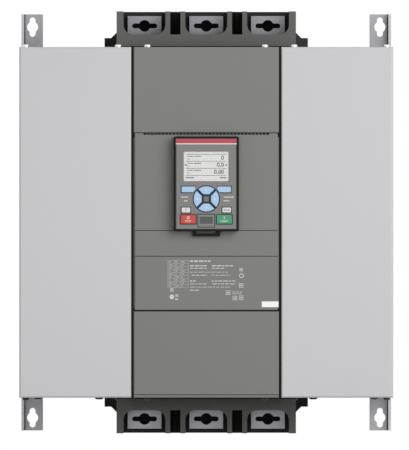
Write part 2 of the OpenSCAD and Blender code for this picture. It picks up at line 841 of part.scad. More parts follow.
// Circuit boards and the row of control terminals behind the wire comb
module control_board() {
    relay = 18;
    relay_h = 15;
    chip = 36;
    capacitor_d = 16;
    relay_z = board_bottom + board_edge;
    color(board_green) {
        box(-board_half_w, board_half_w, control_board_y - board_t, control_board_y,
            board_bottom, board_top);
        for (i = [0 : 3]) translate([(i - 1.5) * relay * 4 / 3, 0, relay_z])
            box(-relay / 2, relay / 2, control_board_y - relay_h, control_board_y, 0, relay * 1.4);
        translate([chip * 0.8, 0, relay_z + relay * 3])
            box(-chip / 2, chip / 2, control_board_y - 3 * board_t, control_board_y, -chip / 2, chip / 2);
        for (i = [0 : 2]) translate([(i - 2.2) * capacitor_d * 4 / 3, 0, relay_z + relay * 3])
            front_cut(control_board_y - relay_h, control_board_y) circle(d = capacitor_d);
    }
}

module gate_driver_board() {
    pulse_w = 14;
    pulse_h = 24;
    pulse_pitch = (2 * driver_half_w - pulse_w) / 6;
    middle = (driver_low + driver_top) / 2;
    color(board_green) {
        box(-driver_half_w, driver_half_w, driver_board_y - board_t, driver_board_y,
            driver_low, driver_top);
        for (i = [0 : 5]) translate([(i - 2.5) * pulse_pitch, 0, middle])
            box(-pulse_w / 2, pulse_w / 2, driver_board_y - pulse_w, driver_board_y,
                -pulse_h / 2, pulse_h / 2);
    }
}

module control_terminals() {
    spare_slots = 9;
    poles = comb_count - spare_slots;
    strip_w = poles * comb_pitch;
    strip_front = bay_floor + wall + 1;
    entry_d = 5.5;
    entry_h = 4;
    comb_gap = 0.5;
    top = control_top - comb_h - comb_gap;
    color("#1d2a22") difference() {
        box(-strip_w / 2, strip_w / 2, strip_front, control_board_y - board_t, top - terminal_h, top);
        for (i = [0 : poles - 1]) translate([(i + 0.5) * comb_pitch - strip_w / 2, 0, 0])
            box(-comb_w / 2, comb_w / 2, strip_front + wall, strip_front + wall + entry_d,
                top - entry_h, top + 1);
    }
}

module keypad_socket() {
    color(black) box(-socket_w / 2, socket_w / 2, bay_floor - socket_out, bay_floor + socket_d,
        socket_z - socket_h / 2, socket_z + socket_h / 2);
}

// Keypad: outlines of the keys, each grown by the gap where it cuts its opening
module nav_outline(turn, grow) {
    translate([0, ring_z]) rotate(turn) intersection() {
        circle(ring_r + grow);
        translate([0, spoke_w * sqrt(2) / 2 - grow * sqrt(2)]) rotate(45) square(2 * ring_r);
        rect(-ring_r - 1, ring_r + 1, hub_w / 2 + spoke_w / 2 - grow, ring_r + 1);
    }
}

module softkey_blank(grow) {
    round_rect(-upper_row_out - grow, -softkey_in + grow, softkey_top - softkey_h - grow,
        softkey_top + grow, key_r);
}

module softkey_outline(grow) {
    difference() {
        softkey_blank(grow);
        translate([0, ring_z]) circle(ring_hole_r + ring_wall - grow);
    }
}

module smallkey_outline(grow) {
    round_rect(-upper_row_out - grow, -upper_row_out + smallkey_w + grow, smallkey_low - grow,
        smallkey_low + smallkey_h + grow, key_r);
}

module bigkey_outline(grow) {
    left = -row_out - grow;
    right = -row_out + bigkey_w + grow;
    round_rect(left, right, bigkey_low - grow, bigkey_low + bigkey_h + grow, bigkey_top_r);
    round_rect(left, right, bigkey_low - grow, bigkey_low + bigkey_h / 2, key_r);
}

module all_key_outlines(grow) {
    for (turn = [0, 90, 180, 270]) nav_outline(turn, grow);
    both_sides() {
        softkey_outline(grow);
        smallkey_outline(grow);
        bigkey_outline(grow);
    }
}

// Key on an outline given twice: at full size, and drawn in by the crown's bevel
module key() {
    hull() {
        front_cut(key_front, key_rear) children(1);
        front_cut(key_front + key_bevel, key_rear) children(0);
    }
}

module nav_key(turn) {
    key() {
        nav_outline(turn, 0);
        nav_outline(turn, -key_bevel);
    }
}

module softkey() {
    difference() {
        key() {
            softkey_blank(0);
            softkey_blank(-key_bevel);
        }
        front_cut(key_front - 1, key_rear + 1) translate([0, ring_z]) circle(ring_hole_r + ring_wall);
    }
}

module smallkey() {
    key() {
        smallkey_outline(0);
        smallkey_outline(-key_bevel);
    }
}

module bigkey() {
    key() {
        bigkey_outline(0);
        bigkey_outline(-key_bevel);
    }
}

// Opening in the front shell that the web of the key mat fills
module key_field_outline(inset) {
    half = row_out + field_edge - inset;
    round_rect(-half, half, flap_low - field_edge + inset, softkey_top + field_edge - inset, key_r);
}

module port_outline(grow) {
    rect(-port_w / 2 - grow, port_w / 2 + grow, port_z - port_h / 2 - grow, port_z + port_h / 2 + grow);
}

module keypad_outline(inset) {
    round_rect(-keypad_w / 2 + inset, keypad_w / 2 - inset, keypad_low + inset, keypad_top - inset,
        max(keypad_r - inset, 0.4));
}

module latch_arms(grow) {
    for (s = [-1, 1]) translate([s * (latch_w - latch_arm) / 2, 0])
        rect(-latch_arm / 2 - grow, latch_arm / 2 + grow, latch_low, keypad_low + latch_stem + grow);
}

module keypad_front_shell() {
    color(black) difference() {
        intersection() {
            front_cut(rim_front, shell_back) keypad_outline(0);
            soft_box(-keypad_w / 2, keypad_w / 2, rim_front, shell_back + 1,
                keypad_low, keypad_top, rim_edge_r);
        }
        front_cut(rim_front - 1, face_back) keypad_outline(rim_w);
        front_cut(shell_inner_front, shell_back + 1) keypad_outline(shell_wall);
        front_cut(face_back - 1, shell_inner_front + 1) {
            key_field_outline(0);
            rect(-display_w / 2, display_w / 2, display_low, display_top);
        }
        front_cut(latch_y - seat, latch_y + latch_t + seat) {
            translate([0, latch_travel]) latch_arms(seat);
            latch_arms(seat);
        }
    }
}

module keypad_face_plate() {
    color(face_grey) front_cut(face_front, face_back) difference() {
        keypad_outline(rim_w + face_gap);
        translate([0, ring_z]) circle(ring_hole_r);
        both_sides() {
            softkey_outline(key_gap);
            smallkey_outline(key_gap);
            bigkey_outline(key_gap);
        }
        rect(-display_w / 2, display_w / 2, display_low, display_top);
        rect(-flap_w / 2 - key_gap, flap_w / 2 + key_gap, flap_low - key_gap, flap_top + key_gap);
    }
}

module keypad_rear_shell() {
    floor_y = rear_back - rear_wall;
    rear_boss_d = 5;
    boss_x = keypad_w / 2 - rear_inset - 1.2 * rear_boss_d;
    boss_z = keypad_h / 2 - rear_inset - 3.2 * rear_boss_d;
    color(black) difference() {
        union() {
            difference() {
                front_cut(rear_front, rear_back) keypad_outline(rear_inset);
                front_cut(rear_front - 1, floor_y) keypad_outline(rear_inset + rear_wall);
            }
            for (x = [-1, 1], z = [-1, 1])
                translate([x * boss_x, 0, keypad_mid + z * boss_z])
                    front_cut(board_front + board_t, floor_y + eps) circle(d = rear_boss_d);
        }
        front_cut(latch_y - seat, latch_y + latch_t + seat) {
            translate([0, latch_travel]) latch_arms(seat);
            latch_arms(seat);
        }
    }
}

module window_outline() {
    half = display_w / 2 - window_gap;
    rect(-half, half, display_low + window_gap, display_top - window_gap);
}

module display_module() {
    color("#e4e6e3") {
        front_cut(face_back + 0.2, shell_inner_front + 1) window_outline();
        front_cut(shell_inner_front + 0.2, board_front)
            rect(-display_w / 2 - display_frame, display_w / 2 + display_frame,
                display_low - display_frame + 1, display_top + display_frame);
    }
}

module display_window() {
    color("#dfe6e6") front_cut(face_front, face_back) window_outline();
}

// Silicone sheet under the keys, with a web that stands up between them
module keypad_mat() {
    mat_half_w = keypad_w / 2 - rear_inset - rear_wall - seat;
    mat_top = display_low - display_frame;
    color("#27425f") {
        front_cut(mat_front, board_front) difference() {
            rect(-mat_half_w, mat_half_w, board_low, mat_top);
            port_outline(1);
        }
        front_cut(face_back + web_gap, mat_front) difference() {
            key_field_outline(seat);
            all_key_outlines(key_gap);
            port_outline(1);
        }
    }
}

module keypad_board() {
    inset = rear_inset + rear_wall + seat;
    half = keypad_w / 2 - inset;
    color(board_green) front_cut(board_front, board_front + board_t)
        rect(-half, half, board_low, keypad_top - inset);
}

// Spring loop under the keypad: pushed up to release it from its bay
module keypad_latch() {
    color(black) front_cut(latch_y, latch_y + latch_t) {
        latch_arms(0);
        rect(-latch_w / 2, latch_w / 2, latch_low, latch_low + latch_bar);
    }
}

module service_port_flap() {
    panel_side = 1.8;
    panel_foot = 3.6;
    panel_d = 0.4;
    color("#7d7d7b") {
        difference() {
            box(-flap_w / 2, flap_w / 2, flap_axis_y - flap_t / 2, flap_axis_y + flap_t / 2,
                flap_low, flap_axis_z);
            box(-flap_w / 2 + panel_side, flap_w / 2 - panel_side,
                flap_axis_y - flap_t, flap_axis_y - flap_t / 2 + panel_d,
                flap_low + panel_foot, flap_axis_z - panel_side);
        }
        translate([-flap_w / 2, flap_axis_y, flap_axis_z]) rotate([0, 90, 0])
            cylinder(d = flap_t, h = flap_w);
    }
}

module service_socket() {
    lip = 1;
    color(tin) front_cut(mat_front - 0.4, board_front) translate([0, port_z]) difference() {
        square([port_shell_w, port_shell_h], center = true);
        square([port_shell_w - 2 * lip, port_shell_h - 2 * lip], center = true);
    }
}

// Fasteners: the head is a short cylinder with a chamfered crown
module pan_screw(head_d, head_h, shank) {
    crown = head_h * 0.35;
    cylinder(d = head_d, h = head_h - crown + eps);
    translate([0, 0, head_h - crown]) cylinder(d1 = head_d, d2 = head_d - 2 * crown, h = crown);
    translate([0, 0, -shank]) cylinder(d = screw_d, h = shank + eps);
}

module cover_screws() {
    color("#d8d9da") both_ends() both_sides() {
        for (p = cover_screws_at()) translate([p.x, p.y, half_h])
            pan_screw(screw_head_d, screw_head_h, screw_len);
        translate([front_screw_x, screw_y, half_h]) pan_screw(screw_head_d, screw_head_h, screw_len);
    }
}

module fan_screws() {
    color(black) both_sides() for (x = [-1, 1], y = [-1, 1])
        translate([side_mid + x * fan_pitch / 2, fan_y + y * fan_pitch / 2, -half_h]) mirror([0, 0, 1])
            pan_screw(fan_head_d, fan_head_h, fan_screw_len);
}

// Each piece of the starter by its own name
module left_mounting_rail() {
    mirror([1, 0, 0]) mounting_rail();
}

module right_mounting_rail() {
    mounting_rail();
}

module left_side_cover() {
    mirror([1, 0, 0]) side_cover();
}

module right_side_cover() {
    side_cover();
}

module left_heatsink() {
    mirror([1, 0, 0]) heatsink();
}

module right_heatsink() {
    heatsink();
}

module left_fan_frame() {
    mirror([1, 0, 0]) fan_frame();
}

module right_fan_frame() {
    fan_frame();
}

module left_fan_rotor() {
    mirror([1, 0, 0]) fan_rotor();
}

module right_fan_rotor() {
    fan_rotor();
}

module left_fan_guard() {
    mirror([1, 0, 0]) fan_guard();
}

module right_fan_guard() {
    fan_guard();
}

module thyristor_left_1() {
    mirror([1, 0, 0]) thyristor(1);
}

module thyristor_right_1() {
    thyristor(1);
}

module thyristor_left_2() {
    mirror([1, 0, 0]) thyristor(2);
}

module thyristor_right_2() {
    thyristor(2);
}

module thyristor_left_3() {
    mirror([1, 0, 0]) thyristor(3);
}

module thyristor_right_3() {
    thyristor(3);
}

module line_terminal_block() {
    terminal_block();
}

module load_terminal_block() {
    mirror([0, 0, 1]) terminal_block();
}

module line_busbar_1() {
    line_busbar(1);
}

module load_busbar_1() {
    load_busbar(1);
}

module line_busbar_2() {
    line_busbar(2);
}

module load_busbar_2() {
    load_busbar(2);
}

module line_busbar_3() {
    line_busbar(3);
}

module load_busbar_3() {
    load_busbar(3);
}

module upper_cover() {
    end_cover(upper_low, false);
}

module lower_cover() {
    mirror([0, 0, 1]) end_cover(-lower_top, true);
}

module softkey_left() {
    color(key_blue) softkey();
}

module softkey_right() {
    color(key_blue) mirror([1, 0, 0]) softkey();
}

module nav_up() {
    color(key_blue) nav_key(0);
}

module nav_down() {
    color(key_blue) nav_key(180);
}

module nav_left() {
    color(key_blue) nav_key(90);
}

module nav_right() {
    color(key_blue) nav_key(270);
}

module help_key() {
    color(key_white) smallkey();
}

module mode_key() {
    color(key_white) mirror([1, 0, 0]) smallkey();
}

module stop_key() {
    color(key_red) bigkey();
}

module start_key() {
    color(key_green) mirror([1, 0, 0]) bigkey();
}

left_mounting_rail();
right_mounting_rail();
chassis();
left_side_cover();
right_side_cover();
line_terminal_block();
load_terminal_block();
line_busbar_1();
line_busbar_2();
line_busbar_3();
load_busbar_1();
load_busbar_2();
load_busbar_3();
bypass_contactor();
arc_chamber();
current_transformers();
left_heatsink();
right_heatsink();
thyristor_left_1();
thyristor_left_2();
thyristor_left_3();
thyristor_right_1();
thyristor_right_2();
thyristor_right_3();
left_fan_frame();
right_fan_frame();
left_fan_rotor();
right_fan_rotor();
left_fan_guard();
right_fan_guard();
control_housing();
upper_cover();
control_cover();
lower_cover();
control_board();
gate_driver_board();
control_terminals();
keypad_socket();
keypad_rear_shell();
keypad_front_shell();
keypad_face_plate();
display_module();
display_window();
keypad_mat();
keypad_board();
keypad_latch();
service_port_flap();
service_socket();
softkey_left();
softkey_right();
nav_up();
nav_down();
nav_left();
nav_right();
help_key();
mode_key();
stop_key();
start_key();
cover_screws();
fan_screws();
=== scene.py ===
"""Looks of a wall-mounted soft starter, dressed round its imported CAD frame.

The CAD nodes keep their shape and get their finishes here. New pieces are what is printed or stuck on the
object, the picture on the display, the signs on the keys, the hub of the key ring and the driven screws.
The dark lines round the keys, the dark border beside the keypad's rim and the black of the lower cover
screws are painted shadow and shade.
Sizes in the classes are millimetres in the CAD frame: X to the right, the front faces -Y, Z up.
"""

from __future__ import annotations

import json
import logging
import math
from dataclasses import dataclass
from enum import Enum

import bmesh
import bpy
from mathutils import Matrix, Vector

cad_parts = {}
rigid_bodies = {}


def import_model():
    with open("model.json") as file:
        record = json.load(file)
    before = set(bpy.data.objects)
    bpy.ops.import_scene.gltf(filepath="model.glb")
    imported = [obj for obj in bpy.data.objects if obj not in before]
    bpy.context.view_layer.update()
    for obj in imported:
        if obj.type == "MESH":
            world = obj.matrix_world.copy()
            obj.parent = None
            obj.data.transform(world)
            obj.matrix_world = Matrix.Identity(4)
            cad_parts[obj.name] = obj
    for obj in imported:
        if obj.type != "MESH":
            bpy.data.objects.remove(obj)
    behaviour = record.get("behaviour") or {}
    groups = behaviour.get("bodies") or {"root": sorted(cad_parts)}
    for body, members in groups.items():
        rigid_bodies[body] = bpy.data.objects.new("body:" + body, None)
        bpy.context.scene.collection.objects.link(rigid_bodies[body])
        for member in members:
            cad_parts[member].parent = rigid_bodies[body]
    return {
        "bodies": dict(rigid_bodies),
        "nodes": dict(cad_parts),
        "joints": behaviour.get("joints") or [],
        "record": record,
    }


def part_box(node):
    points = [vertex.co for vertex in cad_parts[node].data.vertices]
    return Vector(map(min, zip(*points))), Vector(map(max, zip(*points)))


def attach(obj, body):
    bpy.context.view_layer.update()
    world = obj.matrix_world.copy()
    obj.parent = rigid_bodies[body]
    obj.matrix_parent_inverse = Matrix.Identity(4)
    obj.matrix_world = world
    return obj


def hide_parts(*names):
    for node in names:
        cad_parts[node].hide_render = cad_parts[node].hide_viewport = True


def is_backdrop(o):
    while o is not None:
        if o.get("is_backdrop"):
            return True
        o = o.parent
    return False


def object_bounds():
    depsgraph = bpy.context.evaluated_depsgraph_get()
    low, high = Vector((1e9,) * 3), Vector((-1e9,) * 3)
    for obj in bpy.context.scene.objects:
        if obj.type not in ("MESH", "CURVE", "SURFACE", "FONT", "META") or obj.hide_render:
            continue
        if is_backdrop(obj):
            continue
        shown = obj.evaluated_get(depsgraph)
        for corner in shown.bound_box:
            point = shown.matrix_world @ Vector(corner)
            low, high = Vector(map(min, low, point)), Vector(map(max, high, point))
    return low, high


MM = 0.001
LOG = logging.getLogger("soft_starter")
ARROW_SIDES = 3
# Sockets of a Mix node for colours: the share of the second one, both colours and the output
MIX_SHARE, MIX_A, MIX_B, MIX_OUT = 0, 6, 7, 2
Span = tuple[float, float]
Socket = bpy.types.NodeSocket
Tree = bpy.types.NodeTree


def linear(colour: str, gain: float = 1.0) -> tuple[float, float, float, float]:
    """Turn an sRGB hex colour into linear light.

    Args:
        colour: Hex colour such as "#8a8b86".
        gain: Factor on the light, for a tone a little lighter or darker.

    Returns:
        Red, green and blue, and an alpha of 1.
    """
    channels = [int(colour[i:i + 2], 16) / 255 for i in (1, 3, 5)]
    light = [c / 12.92 if c <= 0.04045 else ((c + 0.055) / 1.055) ** 2.4 for c in channels]
    red, green, blue = (min(1.0, c * gain) for c in light)
    return red, green, blue, 1.0


def per_metre(size_mm: float) -> float:
    """Give the texture scale at which one feature is size_mm across."""
    return 1 / (size_mm * MM)


def add_node(tree: Tree, kind: str, inputs: dict | None = None, **settings: object) -> bpy.types.Node:
    """Add a node with its settings, values and links.

    Args:
        tree: Node tree that gets the node.
        kind: Blender's name for the kind of node.
        inputs: For each input, by name or number, a value or the socket that feeds it.
        **settings: Properties of the node itself.

    Returns:
        The new node.
    """
    node = tree.nodes.new(kind)
    for name, value in settings.items():
        setattr(node, name, value)
    for name, value in (inputs or {}).items():
        if isinstance(value, Socket):
            tree.links.new(value, node.inputs[name])
        else:
            node.inputs[name].default_value = value
    return node


@dataclass(frozen=True)
class Zone:
    """A block of space, the same on the left and right, where a piece has a second colour.

    Attributes:
        colour: Second colour, as sRGB hex.
        x: Distance from the middle plane, from and to.
        z: Height, from and to.
        y: Front and back, wide open where only the other two count.
    """

    colour: str
    x: Span
    z: Span
    y: Span = (-500.0, 500.0)

    def mask(self, tree: Tree, place: Socket) -> Socket:
        """Make a mask that is 1 inside the zone.

        Args:
            tree: Node tree of the material.
            place: Object coordinates.

        Returns:
            The mask's socket.
        """
        axes = add_node(tree, "ShaderNodeSeparateXYZ", {0: place}).outputs
        side = add_node(tree, "ShaderNodeMath", {0: axes["X"]}, operation="ABSOLUTE")
        inside = []
        for value, (low, high) in ((side.outputs[0], self.x), (axes["Y"], self.y), (axes["Z"], self.z)):
            limits = {0: value, 1: (low + high) / 2 * MM, 2: (high - low) / 2 * MM}
            inside.append(add_node(tree, "ShaderNodeMath", limits, operation="COMPARE").outputs[0])
        both = add_node(tree, "ShaderNodeMath", {0: inside[0], 1: inside[1]}, operation="MULTIPLY")
        whole = add_node(tree, "ShaderNodeMath", {0: both.outputs[0], 1: inside[2]}, operation="MULTIPLY")
        return whole.outputs[0]


@dataclass(frozen=True)
class Finish:
    """A surface as its maker would order it.

    Attributes:
        name: Name of the material.
        colour: Base colour, as sRGB hex.
        roughness: Roughness of the plain surface.
        metallic: How much of the surface acts as bare metal, from 0 to 1.
        specular: Specular level, 0.5 for an ordinary dielectric.
        edge: Radius that edges show, or 0 for none.
        tone: Share by which the colour drifts over the piece.
        zones: Parts of the piece that have a second colour.
        drift: Distance over which the tone of a plain surface goes from light to dark.
        swing: Share by which the roughness varies along the pattern.
        edge_samples: Rays that look for an edge near each point.
    """

    name: str
    colour: str
    roughness: float = 0.5
    metallic: float = 0.0
    specular: float = 0.5
    edge: float = 0.3
    tone: float = 0.03
    zones: tuple[Zone, ...] = ()
    drift: float = 60.0
    swing: float = 0.1
    edge_samples: int = 4

    def material(self) -> bpy.types.Material:
        """Give the material, making it the first time.

        Returns:
            The material.
        """
        found = bpy.data.materials.get(self.name)
        if found:
            return found
        made = bpy.data.materials.new(self.name)
        made.use_nodes = True
        tree = made.node_tree
        shader = tree.nodes["Principled BSDF"]
        shader.inputs["Base Color"].default_value = linear(self.colour)
        shader.inputs["Roughness"].default_value = self.roughness
        shader.inputs["Metallic"].default_value = self.metallic
        shader.inputs["Specular IOR Level"].default_value = self.specular
        place = add_node(tree, "ShaderNodeTexCoord").outputs["Object"]
        pattern = self.pattern(tree, place)
        self.set_colour(tree, shader, place, pattern)
        self.set_relief(tree, shader, place)
        self.set_gloss(tree, shader, pattern)
        return made

    def pattern(self, tree: Tree, place: Socket) -> Socket:
        """Make the slow drift in tone that every made surface has.

        Args:
            tree: Node tree of the material.
            place: Object coordinates.

        Returns:
            A value from 0 to 1.
        """
        drift = {"Vector": place, "Scale": per_metre(self.drift), "Detail": 2.0}
        return add_node(tree, "ShaderNodeTexNoise", drift).outputs["Fac"]

    def set_colour(self, tree: Tree, shader: bpy.types.Node, place: Socket, pattern: Socket) -> None:
        """Colour the surface, a little darker and lighter along its pattern.

        Args:
            tree: Node tree of the material.
            shader: The surface's shader.
            place: Object coordinates.
            pattern: Value from 0, darker, to 1, lighter.
        """
        darker, lighter = linear(self.colour, 1 - self.tone), linear(self.colour, 1 + self.tone)
        tones = {MIX_SHARE: pattern, MIX_A: darker, MIX_B: lighter}
        colour = add_node(tree, "ShaderNodeMix", tones, data_type="RGBA").outputs[MIX_OUT]
        for zone in self.zones:
            parts = {MIX_SHARE: zone.mask(tree, place), MIX_A: colour, MIX_B: linear(zone.colour)}
            colour = add_node(tree, "ShaderNodeMix", parts, data_type="RGBA").outputs[MIX_OUT]
        tree.links.new(colour, shader.inputs["Base Color"])

    def set_relief(self, tree: Tree, shader: bpy.types.Node, place: Socket) -> None:
        """Soften the edges and lay the surface's own relief over them.

        Args:
            tree: Node tree of the material.
            shader: The surface's shader.
            place: Object coordinates.
        """
        relief = self.relief(tree, place)
        feeds = {"Height": relief[0], "Distance": relief[1] * MM} if relief else {}
        if self.edge:
            radius = {"Radius": self.edge * MM}
            rounded = add_node(tree, "ShaderNodeBevel", radius, samples=self.edge_samples)
            feeds["Normal"] = rounded.outputs["Normal"]
        if relief:
            normal = add_node(tree, "ShaderNodeBump", feeds).outputs["Normal"]
            tree.links.new(normal, shader.inputs["Normal"])
        elif self.edge:
            tree.links.new(feeds["Normal"], shader.inputs["Normal"])

    def relief(self, tree: Tree, place: Socket) -> tuple[Socket, float] | None:
        """Give the height pattern and its depth in millimetres, or None for a smooth surface."""
        return None

    def set_gloss(self, tree: Tree, shader: bpy.types.Node, pattern: Socket) -> None:
        """Vary the roughness a little along the pattern.

        Args:
            tree: Node tree of the material.
            shader: The surface's shader.
            pattern: Value from 0, smoother, to 1, rougher.
        """
        low, high = self.roughness * (1 - self.swing), self.roughness * (1 + self.swing)
        limits = {"Value": pattern, "To Min": low, "To Max": min(1.0, high)}
        gloss = add_node(tree, "ShaderNodeMapRange", limits)
        tree.links.new(gloss.outputs["Result"], shader.inputs["Roughness"])


@dataclass(frozen=True)
class Grained(Finish):
    """A surface with a fine, even grain, such as cast resin, rubber or paper: it has no sharp highlights.

    Attributes:
        grain: Size of the grain, drawn coarser than the real 0.1 mm so that it shows.
        depth: Depth of the grain.
    """

    grain: float = 0.7
    depth: float = 0.02

    def relief(self, tree: Tree, place: Socket) -> tuple[Socket, float] | None:
        """Give the grain and its depth."""
        grain = {"Vector": place, "Scale": per_metre(self.grain), "Detail": 3.0, "Roughness": 0.6}
        return add_node(tree, "ShaderNodeTexNoise", grain).outputs["Fac"], self.depth


@dataclass(frozen=True)
class Moulding(Grained):
    """Plastic from an eroded injection mould: a matt skin whose fine grain breaks up the highlights."""


@dataclass(frozen=True)
class FineMoulding(Grained):
    """ABS from a finely eroded mould: smoother than a large cover, with a weak sheen."""

    roughness: float = 0.45
    specular: float = 0.3
    grain: float = 0.5
    depth: float = 0.012


@dataclass(frozen=True)
class KeyCap(Grained):
    """Key cap of polished ABS: an even colour with a soft highlight along its round edges."""

    roughness: float = 0.38
    specular: float = 0.4
    edge: float = 0.5
    grain: float = 0.4
    depth: float = 0.008


@dataclass(frozen=True)
class FlatPrintAndShade(Grained):
    """Screen-printed ink, also the flat paint of the shadow and shade round the keypad: a flat, slightly
    uneven colour without an edge of its own.
    """

    edge: float = 0.0
    tone: float = 0.06
    grain: float = 1.2


@dataclass(frozen=True)
class PowderCoat(Finish):
    """Powder coat baked on sheet steel: an even colour with a faint orange peel and upright spray streaks.

    Attributes:
        peel, peel_depth: Distance between the humps of the orange peel, and their depth.
        streak: Width of a spray streak, which is drawn out along the height.
        stretch: How many times longer than wide a streak is.
    """

    peel: float = 2.2
    peel_depth: float = 0.012
    streak: float = 14.0
    stretch: float = 30.0

    def pattern(self, tree: Tree, place: Socket) -> Socket:
        """Draw the streaks that the spray leaves along the height of the sheet.

        Args:
            tree: Node tree of the material.
            place: Object coordinates.

        Returns:
            A value from 0 to 1.
        """
        drawn = add_node(tree, "ShaderNodeMapping", {"Vector": place, "Scale": (1, 1, 1 / self.stretch)})
        streaks = {"Vector": drawn.outputs[0], "Scale": per_metre(self.streak), "Detail": 3.0}
        return add_node(tree, "ShaderNodeTexNoise", streaks).outputs["Fac"]

    def relief(self, tree: Tree, place: Socket) -> tuple[Socket, float] | None:
        """Give the orange peel and its depth."""
        peel = {"Vector": place, "Scale": per_metre(self.peel), "Detail": 1.0}
        return add_node(tree, "ShaderNodeTexNoise", peel).outputs["Fac"], self.peel_depth


@dataclass(frozen=True)
class GalvanisedSheet(Finish):
    """Hot-dip galvanised steel: soft grey metal whose zinc crystals are each a little lighter or darker.

    Attributes:
        spangle: Size of a zinc crystal.
    """

    spangle: float = 6.0

    def pattern(self, tree: Tree, place: Socket) -> Socket:
        """Give each zinc crystal a tone of its own.

        Args:
            tree: Node tree of the material.
            place: Object coordinates.

        Returns:
            A value from 0 to 1.
        """
        cells = {"Vector": place, "Scale": per_metre(self.spangle), "Randomness": 1.0}
        crystals = add_node(tree, "ShaderNodeTexVoronoi", cells, feature="SMOOTH_F1")
        return add_node(tree, "ShaderNodeSeparateColor", {0: crystals.outputs["Color"]}).outputs[0]


@dataclass(frozen=True)
class DrawnMetal(Finish):
    """Drawn, brushed or extruded metal: fine lines along the working direction stretch its highlights.

    Attributes:
        line: Distance between the lines, drawn coarser than the real ones so that they show.
        stretch: How many times longer than wide a line is, along X, Y and Z.
        depth: Depth of the lines.
    """

    line: float = 0.8
    stretch: tuple[float, float, float] = (1, 1, 40)
    depth: float = 0.008

    def lines(self, tree: Tree, place: Socket) -> Socket:
        """Draw the lines that the tool leaves.

        Args:
            tree: Node tree of the material.
            place: Object coordinates.

        Returns:
            A value from 0 to 1.
        """
        scale = tuple(1 / s for s in self.stretch)
        drawn = add_node(tree, "ShaderNodeMapping", {"Vector": place, "Scale": scale})
        lines = {"Vector": drawn.outputs[0], "Scale": per_metre(self.line), "Detail": 2.0}
        return add_node(tree, "ShaderNodeTexNoise", lines).outputs["Fac"]

    def pattern(self, tree: Tree, place: Socket) -> Socket:
        """Let the tone follow the lines."""
        return self.lines(tree, place)

    def relief(self, tree: Tree, place: Socket) -> tuple[Socket, float] | None:
        """Give the lines and their depth."""
        return self.lines(tree, place), self.depth


@dataclass(frozen=True)
class SolderMask(Finish):
    """Green solder mask over copper: tracks show as lighter bands under the lacquer.

    Attributes:
        track: Pitch of the tracks.
        length: Length of a piece of track.
        gap: Share of the pitch that lies between two tracks.
        darkest: Tone of the darkest piece, against 1 for the lightest.
    """

    track: float = 1.6
    length: float = 14.0
    gap: float = 0.25
    darkest: float = 0.6

    def pattern(self, tree: Tree, place: Socket) -> Socket:
        """Draw pieces of track with gaps between them.

        Args:
            tree: Node tree of the material.
            place: Object coordinates.

        Returns:
            A grey from 0 to 1.
        """
        turned = add_node(tree, "ShaderNodeMapping", {"Vector": place, "Rotation": (math.pi / 2, 0, 0)})
        darkest = self.darkest
        bricks = {
            "Vector": turned.outputs[0], "Scale": 1.0, "Brick Width": self.length * MM,
            "Row Height": self.track * MM, "Mortar Size": self.gap * self.track * MM,
            "Color1": (1, 1, 1, 1), "Color2": (darkest, darkest, darkest, 1), "Mortar": (0, 0, 0, 1),
        }
        return add_node(tree, "ShaderNodeTexBrick", bricks).outputs["Color"]


@dataclass(frozen=True)
class LiquidCrystal(Finish):
    """Reflective liquid crystal panel: pale and even, with a grid of pixels at the edge of sight.

    Attributes:
        pixel: Pitch of the pixels, drawn coarser than the real 0.3 mm so that it shows.
        gap: Share of the pitch that lies between two pixels.
    """

    pixel: float = 0.6
    gap: float = 0.12

    def pattern(self, tree: Tree, place: Socket) -> Socket:
        """Draw the grid of pixels.

        Args:
            tree: Node tree of the material.
            place: Object coordinates.

        Returns:
            A grey from 0 to 1.
        """
        turned = add_node(tree, "ShaderNodeMapping", {"Vector": place, "Rotation": (math.pi / 2, 0, 0)})
        pitch = self.pixel * MM
        grid = {
            "Vector": turned.outputs[0], "Scale": 1.0, "Brick Width": pitch, "Row Height": pitch,
            "Mortar Size": self.gap * self.pixel * MM, "Color1": (1, 1, 1, 1), "Color2": (1, 1, 1, 1),
            "Mortar": (0, 0, 0, 1),
        }
        return add_node(tree, "ShaderNodeTexBrick", grid, offset=0.0).outputs["Color"]


@dataclass(frozen=True)
class ClearWindow(Finish):
    """Clear acrylic over the display: almost unseen, with a weak gloss and a slight haze.

    Attributes:
        haze: Share of the light that the window keeps for itself.
    """

    haze: float = 0.12

    def material(self) -> bpy.types.Material:
        """Give the finish's material with its haze set.

        Returns:
            The material.
        """
        made = super().material()
        made.node_tree.nodes["Principled BSDF"].inputs["Alpha"].default_value = self.haze
        return made


# Places of the zones: any height on the part, and the front and back of the terminal pockets
ANY_HEIGHT: Span = (-260.0, 260.0)
POCKET_DEPTH: Span = (-189.5, -100.0)
# Heights of the grooves in the covers, half their width, and their reach to the side and in depth, where
# shade is painted in them
GROOVES = (-9.5, -39.5, -200.6)
GROOVE_HALF = 0.42
GROOVE_REACH: Span = (0.0, 86.0)
GROOVE_DEPTH: Span = (-274.9, -274.0)


